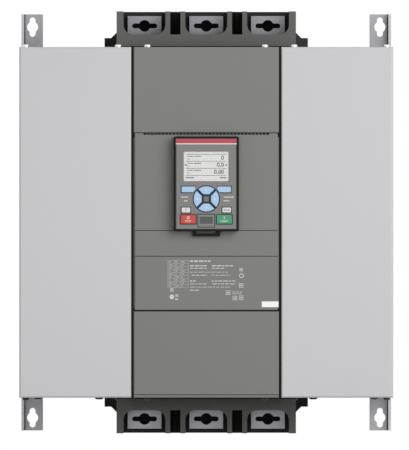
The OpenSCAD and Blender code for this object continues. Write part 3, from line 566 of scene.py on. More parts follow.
class Surface(Enum):
    """The object's finishes.

    Those of CAD nodes bear the names of the record's material slots, apart from the flap's own.
    """

    # Hot-dip zinc on folded sheet: spangled soft grey, bright on its cut edge, with a dark line of painted
    # shade in the rail's fold
    GALVANISED_SHEET = GalvanisedSheet(
        "hot_dip_zinc", "#969699", 0.5, 0.7, tone=0.1,
        zones=(
            # Painted shade: a dark line in the inner fold of the rail
            Zone("#303032", (213.05, 214.4), ANY_HEIGHT, (-4.4, -1)),
            Zone("#a9a9ac", (214.2, 217.6), ANY_HEIGHT, (-18.2, -17.6)),
        ),
    )
    # Baked powder coat: an even light grey with a soft sheen
    COATED_SHEET = PowderCoat("powder_coated_steel", "#c5c5c7", 0.24, tone=0.012)
    # Glass-filled polyester: dull dark grey, darker at the feet and near black along the joints with the
    # covers; its near-black slots and pockets are painted shade
    BLOCK_MOULDING = Moulding(
        "glass_filled_polyester", "#656663", 0.55, specular=0.12, edge=0.5, tone=0.05, grain=0.9,
        zones=(
            Zone("#363738", (104.9, 140), ANY_HEIGHT),
            # Painted shade: near black in the slots of the phase barriers
            Zone("#0f0f0d", (30.1, 42.1), ANY_HEIGHT, POCKET_DEPTH),
            # Painted shade: dark in the middle and outer pockets
            Zone("#272727", (0, 24.6), ANY_HEIGHT, POCKET_DEPTH),
            Zone("#272727", (47.6, 96.8), ANY_HEIGHT, POCKET_DEPTH),
            Zone("#101010", (0, 99), (203.5, 206.0)),
            Zone("#101010", (0, 99), (-206.0, -203.5)),
        ),
    )
    # Tin-plated copper bar: dull silver with drawn lines
    TINNED_COPPER = DrawnMetal("tin_plated_copper", "#7e7e83", 0.42, 0.9, edge=0.4, tone=0.06)
    # Black polyamide: dull black
    CONTACTOR_MOULDING = Moulding("black_polyamide", "#1d1d1e", 0.5, specular=0.2)
    # Cast resin: deep blue with a wavy skin
    TRANSFORMER_RESIN = Grained("cast_resin", "#24324f", 0.4, specular=0.3, grain=2.0, depth=0.03)
    # Extruded aluminium: bright, with lines along the fins
    HEATSINK_ALUMINIUM = DrawnMetal("extruded_aluminium", "#b5b6b8", 0.4, 1.0, tone=0.05)
    # Moulded epoxy: plain dark grey
    MODULE_MOULDING = Moulding("moulded_epoxy", "#2a2a2c", 0.45, specular=0.3)
    # Glass-filled polybutylene: the dull black of a fan
    FAN_MOULDING = Moulding("glass_filled_polybutylene", "#161617", 0.5, specular=0.2)
    # Polycarbonate blend: matt mid grey, with painted shade darkening its fine grooves
    COVER_MOULDING = Moulding(
        "grey_polycarbonate_blend", "#7b7c77", 0.5, specular=0.3, edge=0.6, tone=0.02,
        # Painted shade inside the grooves
        zones=tuple(
            Zone("#3c3d3a", GROOVE_REACH, (z - GROOVE_HALF, z + GROOVE_HALF), GROOVE_DEPTH) for z in GROOVES
        ),
    )
    # Solder mask: glossy green with paler tracks under it
    CIRCUIT_BOARD = SolderMask("solder_mask", "#2f6b45", 0.35, tone=0.35)
    # Black polycarbonate: deep black with hardly any gloss
    BLACK_MOULDING = Moulding("black_polycarbonate", "#0a0a0b", 0.45, specular=0.12)
    # ABS of the face: mid grey, slightly warm
    KEYPAD_FACE = FineMoulding("grey_abs_face", "#7f7d7b", edge=0.6)
    # Liquid crystal: pale grey with a faint grid
    DISPLAY_PANEL = LiquidCrystal("liquid_crystal", "#e2e2e0", 0.4, specular=0.3, edge=0, tone=0.02)
    # Clear acrylic: hardly seen but for its gloss
    DISPLAY_GLASS = ClearWindow("clear_acrylic", "#f2f4f4", 0.1, edge=0, tone=0.0)
    # Silicone rubber: dull dark blue
    MAT_RUBBER = Grained("blue_silicone", "#26364d", 0.6, specular=0.2, grain=0.4)
    # Nickel plate: warm silver with a clear gloss
    PLATED_SHELL = DrawnMetal("nickel_plate", "#b9b7b0", 0.3, 1.0)
    # Polished ABS key caps: clear, even colours with a soft sheen
    BLUE_KEY = KeyCap("blue_abs_key", "#a9c9e6")
    WHITE_KEY = KeyCap("white_abs_key", "#dcdcda")
    RED_KEY = KeyCap("red_abs_key", "#c04537")
    GREEN_KEY = KeyCap("green_abs_key", "#41936f")
    # Bright zinc plate: small, sharp glints
    ZINC_SCREW = DrawnMetal("bright_zinc", "#dededf", 0.25, 1.0, line=0.5, stretch=(1, 1, 1))
    # Black oxide on steel: dark and slightly oily; on the lower cover screws, which are zinc like the upper
    # ones, it is painted shade
    BLACK_SCREW = Finish("black_oxide", "#1a1a1b", 0.45, 0.6)
    # ABS of the flap: grey, with a darker sunk panel
    PORT_FLAP = FineMoulding("grey_abs_flap", "#7f7f7c", zones=(Zone("#50524e", (0, 7.5), (-1.5, 6.5)),))
    # ABS of the ring's hub: a shade darker than the face
    RING_HUB = FineMoulding("grey_abs_hub", "#6c6c63")
    # Screen-printed inks and flat paint: flat colours, the dark ones with less gloss being painted shadow and
    # shade
    RED_INK = FlatPrintAndShade("red_screen_print", "#ab3a49", 0.4)
    WHITE_INK = FlatPrintAndShade("white_screen_print", "#ece7e4", tone=0.04)
    PALE_INK = FlatPrintAndShade("pale_screen_print", "#cfcfca")
    # Painted shadow: the dark lines round the keys and the flap
    SHADOW_INK = FlatPrintAndShade("dark_screen_print", "#3b4350", specular=0.2)
    # Painted shade: the dark border beside the rim of the face
    BORDER_INK = FlatPrintAndShade("border_screen_print", "#474746", specular=0.2)
    GREY_INK = FlatPrintAndShade("grey_screen_print", "#73767c")
    # Switched segments of liquid crystal: dark grey and almost flat
    DISPLAY_INK = FlatPrintAndShade("liquid_crystal_segments", "#2d3035", grain=0.6)
    # Coated paper: plain white and matt
    PAPER_LABEL = Grained("coated_paper", "#fefefe", 0.7, specular=0.2, edge=0, tone=0.01, grain=0.8)


class Sketch:
    """A mesh under construction. Its drawing methods take millimetres, and the mesh is in metres.

    Attributes:
        CORNER_STEPS: Steps in a round corner of a plate.
        RING_STEPS: Sides of a ring.
        LETTER_STEPS: Steps in each curve of a letter.
        WELD: Distance in metres under which two points are one.
    """

    CORNER_STEPS = 4
    RING_STEPS = 32
    LETTER_STEPS = 4
    WELD = 1e-7

    def __init__(self) -> None:
        """Start with an empty mesh."""
        self.bm = bmesh.new()

    def plate(self, x: Span, y: Span, z: Span, corner: float = 0.0) -> None:
        """Draw a plate that faces the front.

        Args:
            x: Left and right.
            y: Front and back.
            z: Bottom and top.
            corner: Radius of its four corners.
        """
        low, high = Vector((x[0], y[0], z[0])), Vector((x[1], y[1], z[1]))
        place = Matrix.LocRotScale((low + high) / 2 * MM, None, (high - low) * MM)
        verts = bmesh.ops.create_cube(self.bm, size=1.0, matrix=place)["verts"]
        if corner:
            edges = dict.fromkeys(edge for vert in verts for edge in vert.link_edges)
            deep = [e for e in edges if abs(e.verts[0].co.y - e.verts[1].co.y) > self.WELD]
            bmesh.ops.bevel(
                self.bm, geom=deep, offset=corner * MM, offset_type="OFFSET", segments=self.CORNER_STEPS,
                profile=0.5, affect="EDGES", material=-1, clamp_overlap=True,
            )

    def prism(self, x: float, y: Span, z: float, radius: float, sides: int, turn: float = 0.0) -> None:
        """Draw a prism that faces the front, such as an arrow head of three sides.

        Args:
            x: Middle, from left to right.
            y: Front and back.
            z: Middle, from bottom to top.
            radius: Distance of the corners from the middle.
            sides: Number of corners.
            turn: Angle of the first corner from straight up, in degrees.
        """
        centre = Matrix.Translation(Vector((x, (y[0] + y[1]) / 2, z)) * MM)
        facing = Matrix.Rotation(math.radians(turn), 4, "Y") @ Matrix.Rotation(math.radians(90), 4, "X")
        bmesh.ops.create_cone(
            self.bm, cap_ends=True, cap_tris=False, segments=sides, radius1=radius * MM, radius2=radius * MM,
            depth=(y[1] - y[0]) * MM, matrix=centre @ facing,
        )

    def ring(self, x: float, y: Span, z: float, inner: float, outer: float) -> None:
        """Draw a flat ring that faces the front.

        Args:
            x: Middle, from left to right.
            y: Front and back.
            z: Middle, from bottom to top.
            inner: Inner radius.
            outer: Outer radius.
        """
        corners = [(inner, y[0]), (outer, y[0]), (outer, y[1]), (inner, y[1])]
        verts = [self.bm.verts.new(Vector((x + r, depth, z)) * MM) for r, depth in corners]
        edges = [self.bm.edges.new((verts[i - 1], verts[i])) for i in range(4)]
        bmesh.ops.spin(
            self.bm, geom=verts + edges, cent=Vector((x, 0, z)) * MM, axis=(0, 1, 0), angle=math.tau,
            steps=self.RING_STEPS, use_merge=True,
        )

    def loop(self, points: list[Span], y: float) -> list[bmesh.types.BMEdge]:
        """Draw a closed line in a plane that faces the front.

        Args:
            points: Its corners, each as X and Z.
            y: The plane.

        Returns:
            The line's edges.
        """
        verts = [self.bm.verts.new(Vector((x, y, z)) * MM) for x, z in points]
        return [self.bm.edges.new((verts[i - 1], verts[i])) for i in range(len(verts))]

    def thicken(self, faces: list[bmesh.types.BMFace], y: Span) -> None:
        """Make a solid of flat faces that lie in its front.

        Args:
            faces: The faces.
            y: Front and back of the solid.
        """
        grown = bmesh.ops.extrude_face_region(self.bm, geom=faces)["geom"]
        back = [item for item in grown if isinstance(item, bmesh.types.BMVert)]
        bmesh.ops.translate(self.bm, verts=back, vec=Vector((0, y[1] - y[0], 0)) * MM)

    def outline(self, points: list[Span], y: Span) -> None:
        """Draw a flat piece of any outline that faces the front.

        Args:
            points: Corners of the outline, each as X and Z.
            y: Front and back.
        """
        edges = self.loop(points, y[0])
        self.thicken(bmesh.ops.contextual_create(self.bm, geom=edges)["faces"], y)

    def frame(self, x: Span, y: Span, z: Span, width: float) -> None:
        """Draw a rectangular frame that faces the front.

        Args:
            x: Left and right of its outer edge.
            y: Front and back.
            z: Bottom and top of its outer edge.
            width: Width of its four sides.
        """
        edges = []
        for inset in (0.0, width):
            left, right, low, high = x[0] + inset, x[1] - inset, z[0] + inset, z[1] - inset
            edges += self.loop([(left, low), (right, low), (right, high), (left, high)], y[0])
        self.thicken(bmesh.ops.bridge_loops(self.bm, edges=edges)["faces"], y)

    def letters(
        self, text: str, x: float, y: Span, z: float, size: float, align: str = "CENTER", weight: float = 0.0,
    ) -> None:
        """Draw figures or letters that face the front.

        Args:
            text: What they say.
            x: Where they are aligned.
            y: Front and back.
            z: Middle of their height.
            size: Size of the type.
            align: "LEFT", "CENTER" or "RIGHT".
            weight: By how much each stroke is thickened on both sides.
        """
        curve = bpy.data.curves.new("letters", "FONT")
        curve.body = text
        curve.size = size * MM
        curve.align_x = align
        curve.align_y = "CENTER"
        curve.resolution_u = self.LETTER_STEPS
        curve.offset = weight * MM
        curve.extrude = (y[1] - y[0]) / 2 * MM
        holder = bpy.data.objects.new("letters", curve)
        bpy.context.scene.collection.objects.link(holder)
        shown = holder.evaluated_get(bpy.context.evaluated_depsgraph_get())
        mesh = bpy.data.meshes.new_from_object(shown)
        centre = Matrix.Translation(Vector((x, (y[0] + y[1]) / 2, z)) * MM)
        mesh.transform(centre @ Matrix.Rotation(math.radians(90), 4, "X"))
        self.bm.from_mesh(mesh)
        bpy.data.meshes.remove(mesh)
        bpy.data.objects.remove(holder)
        bpy.data.curves.remove(curve)

    def piece(self, name: str, surface: Surface, body: str, slot: str | None = None) -> bpy.types.Object:
        """Finish the mesh as a piece of the object.

        Args:
            name: Name of the piece.
            surface: Its finish.
            body: CAD body that it moves with.
            slot: Material slot of the record; not used.

        Returns:
            The piece.
        """
        bmesh.ops.remove_doubles(self.bm, verts=self.bm.verts, dist=self.WELD)
        bmesh.ops.recalc_face_normals(self.bm, faces=self.bm.faces)
        mesh = bpy.data.meshes.new(name)
        self.bm.to_mesh(mesh)
        self.bm.free()
        mesh.materials.append(surface.value.material())
        made = bpy.data.objects.new(name, mesh)
        bpy.context.scene.collection.objects.link(made)
        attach(made, body)
        LOG.info("piece %s on %s: %d faces", name, body, len(mesh.polygons))
        return made


def box_mm(node: str) -> tuple[Vector, Vector]:
    """Give a CAD node's lowest and highest corners in millimetres."""
    low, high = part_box(node)
    return low / MM, high / MM


@dataclass
class SubAssembly:
    """Some of the object's CAD nodes, which are dressed together.

    Attributes:
        frame: The loaded frame.
        nodes: Start of the name of each node.
    """

    frame: dict
    nodes: tuple[str, ...] = ()

    def surface_of(self, node: str, slot: str) -> Surface:
        """Give a node's finish, which is its slot's unless the sub-assembly has its own."""
        return Surface[slot.upper()]

    def dress(self) -> None:
        """Give each node of the sub-assembly its finish."""
        slots = {row["node"]: row["material_slot"] for row in self.frame["record"]["subparts"]}
        for name, node in self.frame["nodes"].items():
            if name.startswith(self.nodes):
                surface = self.surface_of(name, slots[name])
                node.data.materials.clear()
                node.data.materials.append(surface.value.material())
                LOG.info("node %s: %s", name, surface.value.name)

    def build(self) -> None:
        """Add the sub-assembly's own pieces; a plain one has none."""


@dataclass
class SheetMetal(SubAssembly):
    """Rails, chassis and side covers."""

    nodes: tuple[str, ...] = ("left_mounting", "right_mounting", "chassis", "left_side", "right_side")


@dataclass
class PowerTrain(SubAssembly):
    """Terminal blocks, busbars, contactor, current transformers, heat sinks, thyristor modules and fans."""

    nodes: tuple[str, ...] = (
        "line_", "load_", "bypass", "arc_", "current_", "left_heatsink", "right_heatsink", "thyristor",
        "left_fan", "right_fan",
    )


@dataclass(frozen=True)
class Bar:
    """A bar of print.

    Attributes:
        x: Left and right.
        z: Middle of its height.
        height: Its height.
        corner: Radius of its corners, as a share of the height.
        gap: Space between two words.
        shortest, lengths: Length of the shortest word, and number of lengths, each 1 mm more.
    """

    x: Span
    z: float
    height: float = 1.1
    corner: float = 0.3
    gap: float = 1.0
    shortest: float = 2.6
    lengths: int = 4

    def draw(self, ink: Sketch, depth: Span) -> None:
        """Draw the bar with rounded corners.

        Args:
            ink: Sketch that gets the bar.
            depth: Front and back of the ink.
        """
        z = (self.z - self.height / 2, self.z + self.height / 2)
        ink.plate(self.x, depth, z, self.height * self.corner)

    def words(self) -> list[Bar]:
        """Break the bar into word-like bars of different lengths.

        Returns:
            The words, from left to right.
        """
        words: list[Bar] = []
        start, end = self.x
        while end - start > self.gap:
            stop = min(end, start + self.shortest + (len(words) + int(-self.z)) % self.lengths)
            words.append(Bar((start, stop), self.z, self.height))
            start = stop + self.gap
        return words


@dataclass
class FrontMoulding(SubAssembly):
    """Housing, covers and boards of the centre, with a bare sticker and plain print on the control cover.

    Attributes:
        film: Thickness of the ink.
        sticker_w, sticker_h, sticker_t: Size of the sticker.
        sticker_corner: Radius of its corners.
        sticker_side, sticker_up: Its distance from the cover's right and lower edges.
        table_x, table_top: Left and right of the table, and its top.
        table_row, table_rows: Height and number of its rows.
        column, columns: Width and number of its columns.
        rule: Width of its lines.
        upright_short: How far an upright stops short of a line's middle, in widths of the line.
        entry: Left margin, least length and height of the bars that stand for its entries.
        entry_lengths: Number of lengths of those bars, each 1 mm more.
        notes: Lines of print beside the table.
        fields: Middle and width of the small square frames, each with a dot in it.
        stroke: Width of their lines.
        dot, dot_sides: Width of a frame in radii of its dot, and the dot's sides.
        ring, ring_bold: Middle and radius of a plain ring, and its width in strokes.
        disc, disc_sides: Middle and radius of a plain disc, and its sides.
    """

    nodes: tuple[str, ...] = ("control_", "upper_cover", "lower_cover", "gate_driver", "keypad_socket")
    film: float = 0.02
    sticker_w: float = 19.4
    sticker_h: float = 6.6
    sticker_t: float = 0.12
    sticker_corner: float = 0.5
    sticker_side: float = 0.35
    sticker_up: float = 3.6
    table_x: Span = (-44.7, -20.9)
    table_top: float = -44.3
    table_row: float = 3.5
    table_rows: int = 9
    column: float = 7.2
    columns: int = 3
    rule: float = 0.22
    upright_short: float = 0.7
    entry: tuple[float, float, float] = (1.2, 2.2, 0.7)
    entry_lengths: int = 3
    notes: tuple[Bar, ...] = (
        Bar((-19.0, 5.5), -45.1, 1.5),
        Bar((-19.0, 1.0), -50.5, 1.2), Bar((6.5, 31.2), -50.5, 1.2),
        Bar((-19.0, 1.0), -53.4, 0.9), Bar((6.5, 21.0), -53.4, 0.9),
        Bar((-19.0, 27.0), -57.9, 0.6),
        Bar((-17.0, 1.0), -61.5, 0.8), Bar((6.0, 28.0), -61.5, 0.6),
        Bar((-19.0, -12.5), -68.2, 1.2), Bar((6.0, 35.0), -68.2, 1.0),
        Bar((-19.0, 0.5), -71.6, 0.8), Bar((7.0, 35.0), -71.6, 0.9),
        Bar((-19.0, 28.0), -75.3, 0.6),
        Bar((-19.0, -8.5), -78.9, 0.9),
        Bar((30.4, 41.4), -80.9, 0.6), Bar((30.4, 41.4), -82.9, 0.6),
        Bar((-36.4, -32.0), -89.5, 1.4),
    )
    fields: tuple[tuple[float, float, float], ...] = (
        (40.6, -55.1, 3.6), (40.6, -73.4, 5.0), (25.4, -81.9, 5.0), (33.3, -88.0, 5.0), (40.6, -87.6, 5.0),
        (-40.0, -78.6, 3.6), (-34.2, -85.2, 3.0),
    )
    stroke: float = 0.6
    dot: float = 5.0
    dot_sides: int = 16
    ring: tuple[float, float, float] = (41.0, -62.1, 2.8)
    ring_bold: float = 1.5
    disc: tuple[float, float, float] = (-40.0, -86.7, 2.8)
    disc_sides: int = 24

    def build(self) -> None:
        """Stick the label on and print the control cover."""
        low, high = box_mm("control_cover")
        front = low.y
        right, bottom = high.x - self.sticker_side, low.z + self.sticker_up
        x, z = (right - self.sticker_w, right), (bottom, bottom + self.sticker_h)
        sticker = Sketch()
        sticker.plate(x, (front - self.sticker_t, front), z, self.sticker_corner)
        sticker.piece("bare_sticker", Surface.PAPER_LABEL, "case")
        ink = Sketch()
        self.print_table(ink, (front - self.film, front))
        self.print_notes(ink, (front - self.film, front))
        ink.piece("cover_print", Surface.PALE_INK, "case")

    def print_table(self, ink: Sketch, depth: Span) -> None:
        """Print a ruled table with plain bars as its entries.

        Args:
            ink: Sketch that gets the table.
            depth: Front and back of the ink.
        """
        left, right = self.table_x
        margin, least, height = self.entry
        uprights = [*(left + k * self.column for k in range(self.columns)), right]
        edge = self.rule / 2
        for row in range(self.table_rows + 1):
            line = Bar((left - edge, right + edge), self.table_top - row * self.table_row, self.rule)
            line.draw(ink, depth)
        half = self.table_row / 2 - self.upright_short * self.rule
        for row in range(self.table_rows):
            middle = self.table_top - (row + 0.5) * self.table_row
            for x in uprights:
                ink.plate((x - edge, x + edge), depth, (middle - half, middle + half))
            for k in range(self.columns):
                start = left + k * self.column + margin
                length = least + (2 * row + k) % self.entry_lengths
                Bar((start, start + length), middle, height).draw(ink, depth)

    def print_notes(self, ink: Sketch, depth: Span) -> None:
        """Print the lines of word-like bars and the small plain signs round them.

        Args:
            ink: Sketch that gets the print.
            depth: Front and back of the ink.
        """
        for note in self.notes:
            for word in note.words():
                word.draw(ink, depth)
        for x, z, width in self.fields:
            half = width / 2
            ink.frame((x - half, x + half), depth, (z - half, z + half), self.stroke)
            ink.prism(x, depth, z, width / self.dot, self.dot_sides)
        x, z, radius = self.ring
        ink.ring(x, depth, z, radius - self.ring_bold * self.stroke, radius)
        x, z, radius = self.disc
        ink.prism(x, depth, z, radius, self.disc_sides)


@dataclass
class Keypad(SubAssembly):
    """Keypad with its red stripe, display picture, labels, hub and the signs on its keys.

    Attributes:
        film: Thickness of ink.
        stripe_h, stripe_t, stripe_corner: Height, thickness and corner radius of the red stripe.
        line_h: Height of the white line under it.
        inset: Space between the stripe and the rim.
        hub_half, hub_t, hub_corner: Half the width of the hub, its thickness and its corner radius.
        rules: Distance of each rule from the top of the display.
        rule_x, rule_h: Left and right of the rules, and their height.
        side_line: Left and right of the upright line beside the captions.
        values: The plain numbers shown.
        value_x, value_drop: Right end of the values, and their distance below a rule.
        value_size, value_weight: Their type size, and by how much their strokes are thickened.
        caption_words, caption_h, caption_drop: The bars of a caption, their height and distance below a rule.
        unit_x, unit_h, unit_drop: The bar under a caption, its height and its distance below the caption.
        pointer_x, pointer: Places and radius of the arrow heads at both sides of the display.
        choice_words, choice_h, choice_drop: The bars over the soft keys, their height and their drop.
        lamp_words: Each caption beside the ring, with 1 for above the ring's middle and -1 for below it.
        lamp_up: Distance of those captions from the ring's middle.
        sign: Radius of the arrow heads on the keys.
        mark_size, mark_weight: Type size and added stroke of the marks on the small keys.
        shaft_half: Half the width of the shaft between two arrow heads.
        off_ring, off_up: Inner and outer radius of the off ring, and its height over the key's middle.
        on_half, on_z, on_corner: Half width of the on bar, its ends over the middle and its corner radius.
        word_size, word_drop: Type size of the words, and their distance under the key's middle.
        line_out, line_w: Reach past a key and width of the dark line of painted shadow round it.
        line_short: How far the lower line of a soft key stops short of the key's inner end.
        border_w, border_low_w: Width of the border of painted shade at the face's sides and along its foot.
        border_gap: Space between the border and the rim.
    """

    nodes: tuple[str, ...] = (
        "keypad_rear", "keypad_front", "keypad_face", "keypad_mat", "keypad_board", "keypad_latch", "display",
        "service", "softkey", "nav_", "help_key", "mode_key", "stop_key", "start_key",
    )
    film: float = 0.03
    stripe_h: float = 5.4
    stripe_t: float = 0.1
    stripe_corner: float = 0.4
    line_h: float = 1.05
    inset: float = 0.2
    hub_half: float = 3.1
    hub_t: float = 0.9
    hub_corner: float = 0.7
    rules: tuple[float, ...] = (3.3, 11.3, 19.6, 27.9)
    rule_x: Span = (-23.0, 23.4)
    rule_h: float = 0.6
    side_line: Span = (-22.2, -21.9)
    values: tuple[str, ...] = ("0", "0.0", "0.00")
    value_x: float = 20.6
    value_drop: float = 4.2
    value_size: float = 6.8
    value_weight: float = 0.24
    caption_words: tuple[Span, ...] = ((-21.0, -15.2), (-14.4, -6.0))
    caption_h: float = 1.0
    caption_drop: float = 2.3
    unit_x: Span = (-21.0, -19.4)
    unit_h: float = 0.9
    unit_drop: float = 3.2
    pointer_x: Span = (-23.8, 23.2)
    pointer: float = 1.7
    choice_words: tuple[Span, ...] = ((-24.2, -14.0), (16.0, 24.0))
    choice_h: float = 1.4
    choice_drop: float = 2.6
    lamp_words: tuple[tuple[Span, int], ...] = (
        ((-29.4, -21.0), 1), ((-26.1, -21.4), -1), ((20.1, 32.4), 1), ((19.8, 26.8), -1),
    )
    lamp_up: float = 2.2
    sign: float = 1.4
    mark_size: float = 4.8
    mark_weight: float = 0.1
    shaft_half: float = 0.35
    off_ring: Span = (1.1, 1.7)
    off_up: float = 1.7
    on_half: float = 0.35
    on_z: Span = (0.1, 3.4)
    on_corner: float = 0.2
    word_size: float = 3.0
    word_drop: float = 2.4
    line_out: float = 1.0
    line_w: float = 0.65
    line_short: float = 3.5
    border_w: float = 0.85
    border_low_w: float = 0.5
    border_gap: float = 0.05

    def surface_of(self, node: str, slot: str) -> Surface:
        """Give the flap its darker panel, and every other node its slot's finish."""
        return Surface.PORT_FLAP if node == "service_port_flap" else super().surface_of(node, slot)

    def build(self) -> None:
        """Add the stripe, the display's picture, the labels, the hub and the signs."""
        self.stripe()
        self.picture()
        self.labels()
        self.frames()
        self.hub()
        self.ring_signs()
        self.small_signs()
        self.run_signs()

    def on_key(self, key: str) -> tuple[float, Span, float]:
        """Find where a sign goes on a key.

        Args:
            key: Name of the key.

        Returns:
            The key's middle from left to right, the ink's front and back, and the middle of the key's height.
        """
        low, high = box_mm(key)
        middle = (low + high) / 2
        return middle.x, (low.y - self.film, low.y), middle.z

    def ring_middle(self) -> float:
        """Give the height of the middle of the ring keys."""
        return (box_mm("nav_up")[1].z + box_mm("nav_down")[0].z) / 2

    def stripe(self) -> None:
        """Lay the bare red stripe and the white line under it along the top of the face plate."""
        low, high = box_mm("keypad_face_plate")
        depth = (low.y - self.stripe_t, low.y)
        x = (low.x + self.inset, high.x - self.inset)
        top = high.z - self.inset
        red = Sketch()
        red.plate(x, depth, (top - self.stripe_h, top), self.stripe_corner)
        red.piece("red_stripe", Surface.RED_INK, "keypad")
        white = Sketch()
        white.plate(x, depth, (top - self.stripe_h - self.line_h, top - self.stripe_h))
        white.piece("white_line", Surface.WHITE_INK, "keypad")

    def picture(self) -> None:
        """Draw the rules, captions, plain numbers and arrows that the display shows."""
        top = box_mm("display_window")[1].z
        face = box_mm("display_module")[0].y
        depth = (face - self.film, face)
        ink = Sketch()
        for drop in self.rules:
            ink.plate(self.rule_x, depth, (top - drop - self.rule_h / 2, top - drop + self.rule_h / 2))
        for drop, value in zip(self.rules, self.values):
            caption = top - drop - self.caption_drop
            for x in self.caption_words:
                Bar(x, caption, self.caption_h).draw(ink, depth)
            Bar(self.unit_x, caption - self.unit_drop, self.unit_h).draw(ink, depth)
            z = top - drop - self.value_drop
            ink.letters(value, self.value_x, depth, z, self.value_size, "RIGHT", self.value_weight)
        ink.plate(self.side_line, depth, (top - self.rules[-1], top - self.rules[0]))
        middle = top - (self.rules[0] + self.rules[-1]) / 2
        for x, turn in zip(self.pointer_x, (-90, 90)):
            ink.prism(x, depth, middle, self.pointer, ARROW_SIDES, turn)
        for x in self.choice_words:
            Bar(x, top - self.rules[-1] - self.choice_drop, self.choice_h).draw(ink, depth)
        ink.piece("display_picture", Surface.DISPLAY_INK, "keypad")

    def labels(self) -> None:
        """Print the pale captions beside the ring."""
        front = box_mm("keypad_face_plate")[0].y
        ring = self.ring_middle()
        ink = Sketch()
        for x, side in self.lamp_words:
            Bar(x, ring + side * self.lamp_up).draw(ink, (front - self.film, front))
        ink.piece("lamp_captions", Surface.PALE_INK, "keypad")

    def frames(self) -> None:
        """Paint a dark line of shadow round the flap and round each key outside the ring.

        A border of painted shade runs down the sides of the face and along its foot, beside the rim.
        """
        low, high = box_mm("keypad_face_plate")
        depth = (low.y - self.film, low.y)
        lines = Sketch()
        for key in ("help_key", "mode_key", "stop_key", "start_key", "service_port_flap"):
            start, end = box_mm(key)
            x = (start.x - self.line_out, end.x + self.line_out)
            lines.frame(x, depth, (start.z - self.line_out, end.z + self.line_out), self.line_w)
        for key, side in (("softkey_left", -1), ("softkey_right", 1)):
            self.soft_line(lines, depth, key, side)
        # Painted shadow round the keys and the flap
        lines.piece("key_lines", Surface.SHADOW_INK, "keypad")
        top = high.z - self.inset - self.stripe_h - self.line_h
        foot = low.z + self.border_gap
        half = high.x - self.border_gap
        inner, floor = half - self.border_w, foot + self.border_low_w
        border = Sketch()
        border.outline(
            [(-half, top), (-half, foot), (half, foot), (half, top),
             (inner, top), (inner, floor), (-inner, floor), (-inner, top)],
            depth,
        )
        # Painted shade: the dark border beside the rim
        border.piece("face_border", Surface.BORDER_INK, "keypad")

    def soft_line(self, lines: Sketch, depth: Span, key: str, side: int) -> None:
        """Paint a dark line of shadow round a soft key, open towards the ring.

        Args:
            lines: Sketch that gets the line.
            depth: Front and back of the ink.
            key: Name of the key.
            side: -1 for the left key and 1 for the right one.
        """
        low, high = box_mm(key)
        near, far = sorted((abs(low.x), abs(high.x)))
        far += self.line_out
        bottom, top = low.z - self.line_out, high.z + self.line_out
        short, inner = near + self.line_short, far - self.line_w
        line = [
            (near, top), (far, top), (far, bottom), (short, bottom),
            (short, bottom + self.line_w), (inner, bottom + self.line_w), (inner, top - self.line_w),
            (near, top - self.line_w),
        ]
        lines.outline([(side * x, z) for x, z in line], depth)

    def hub(self) -> None:
        """Seat the square hub on the web between the ring keys."""
        web = box_mm("keypad_mat")[0].y
        ring = self.ring_middle()
        half = self.hub_half
        cap = Sketch()
        cap.plate((-half, half), (web - self.hub_t, web), (ring - half, ring + half), self.hub_corner)
        cap.piece("ring_hub", Surface.RING_HUB, "keypad", "keypad_face")

    def ring_signs(self) -> None:
        """Print an arrow head on each ring key, pointing outwards."""
        for key, turn in (("nav_up", 0), ("nav_right", 90), ("nav_down", 180), ("nav_left", 270)):
            x, depth, z = self.on_key(key)
            arrow = Sketch()
            arrow.prism(x, depth, z, self.sign, ARROW_SIDES, turn)
            arrow.piece(f"{key}_sign", Surface.WHITE_INK, key)

    def small_signs(self) -> None:
        """Print a question mark on the left small key and an arrow with two heads on the right one."""
        x, depth, z = self.on_key("help_key")
        mark = Sketch()
        mark.letters("?", x, depth, z, self.mark_size, weight=self.mark_weight)
        mark.piece("help_key_sign", Surface.GREY_INK, "help_key")
        x, depth, z = self.on_key("mode_key")
        reach = self.mark_size / 2
        arrow = Sketch()
        arrow.plate((x - reach, x + reach), depth, (z - self.shaft_half, z + self.shaft_half))
        for side in (-1, 1):
            arrow.prism(x + side * reach, depth, z, self.sign, ARROW_SIDES, 90 * side)
        arrow.piece("mode_key_sign", Surface.GREY_INK, "mode_key")

    def run_signs(self) -> None:
        """Print the off ring and the on bar, with plain words under them, on the stop and start keys."""
        for key, word in (("stop_key", "STOP"), ("start_key", "START")):
            x, depth, z = self.on_key(key)
            mark = Sketch()
            if key == "stop_key":
                mark.ring(x, depth, z + self.off_up, *self.off_ring)
            else:
                foot, top = self.on_z
                mark.plate((x - self.on_half, x + self.on_half), depth, (z + foot, z + top), self.on_corner)
            mark.letters(word, x, depth, z - self.word_drop, self.word_size)
            mark.piece(f"{key}_sign", Surface.WHITE_INK, key)


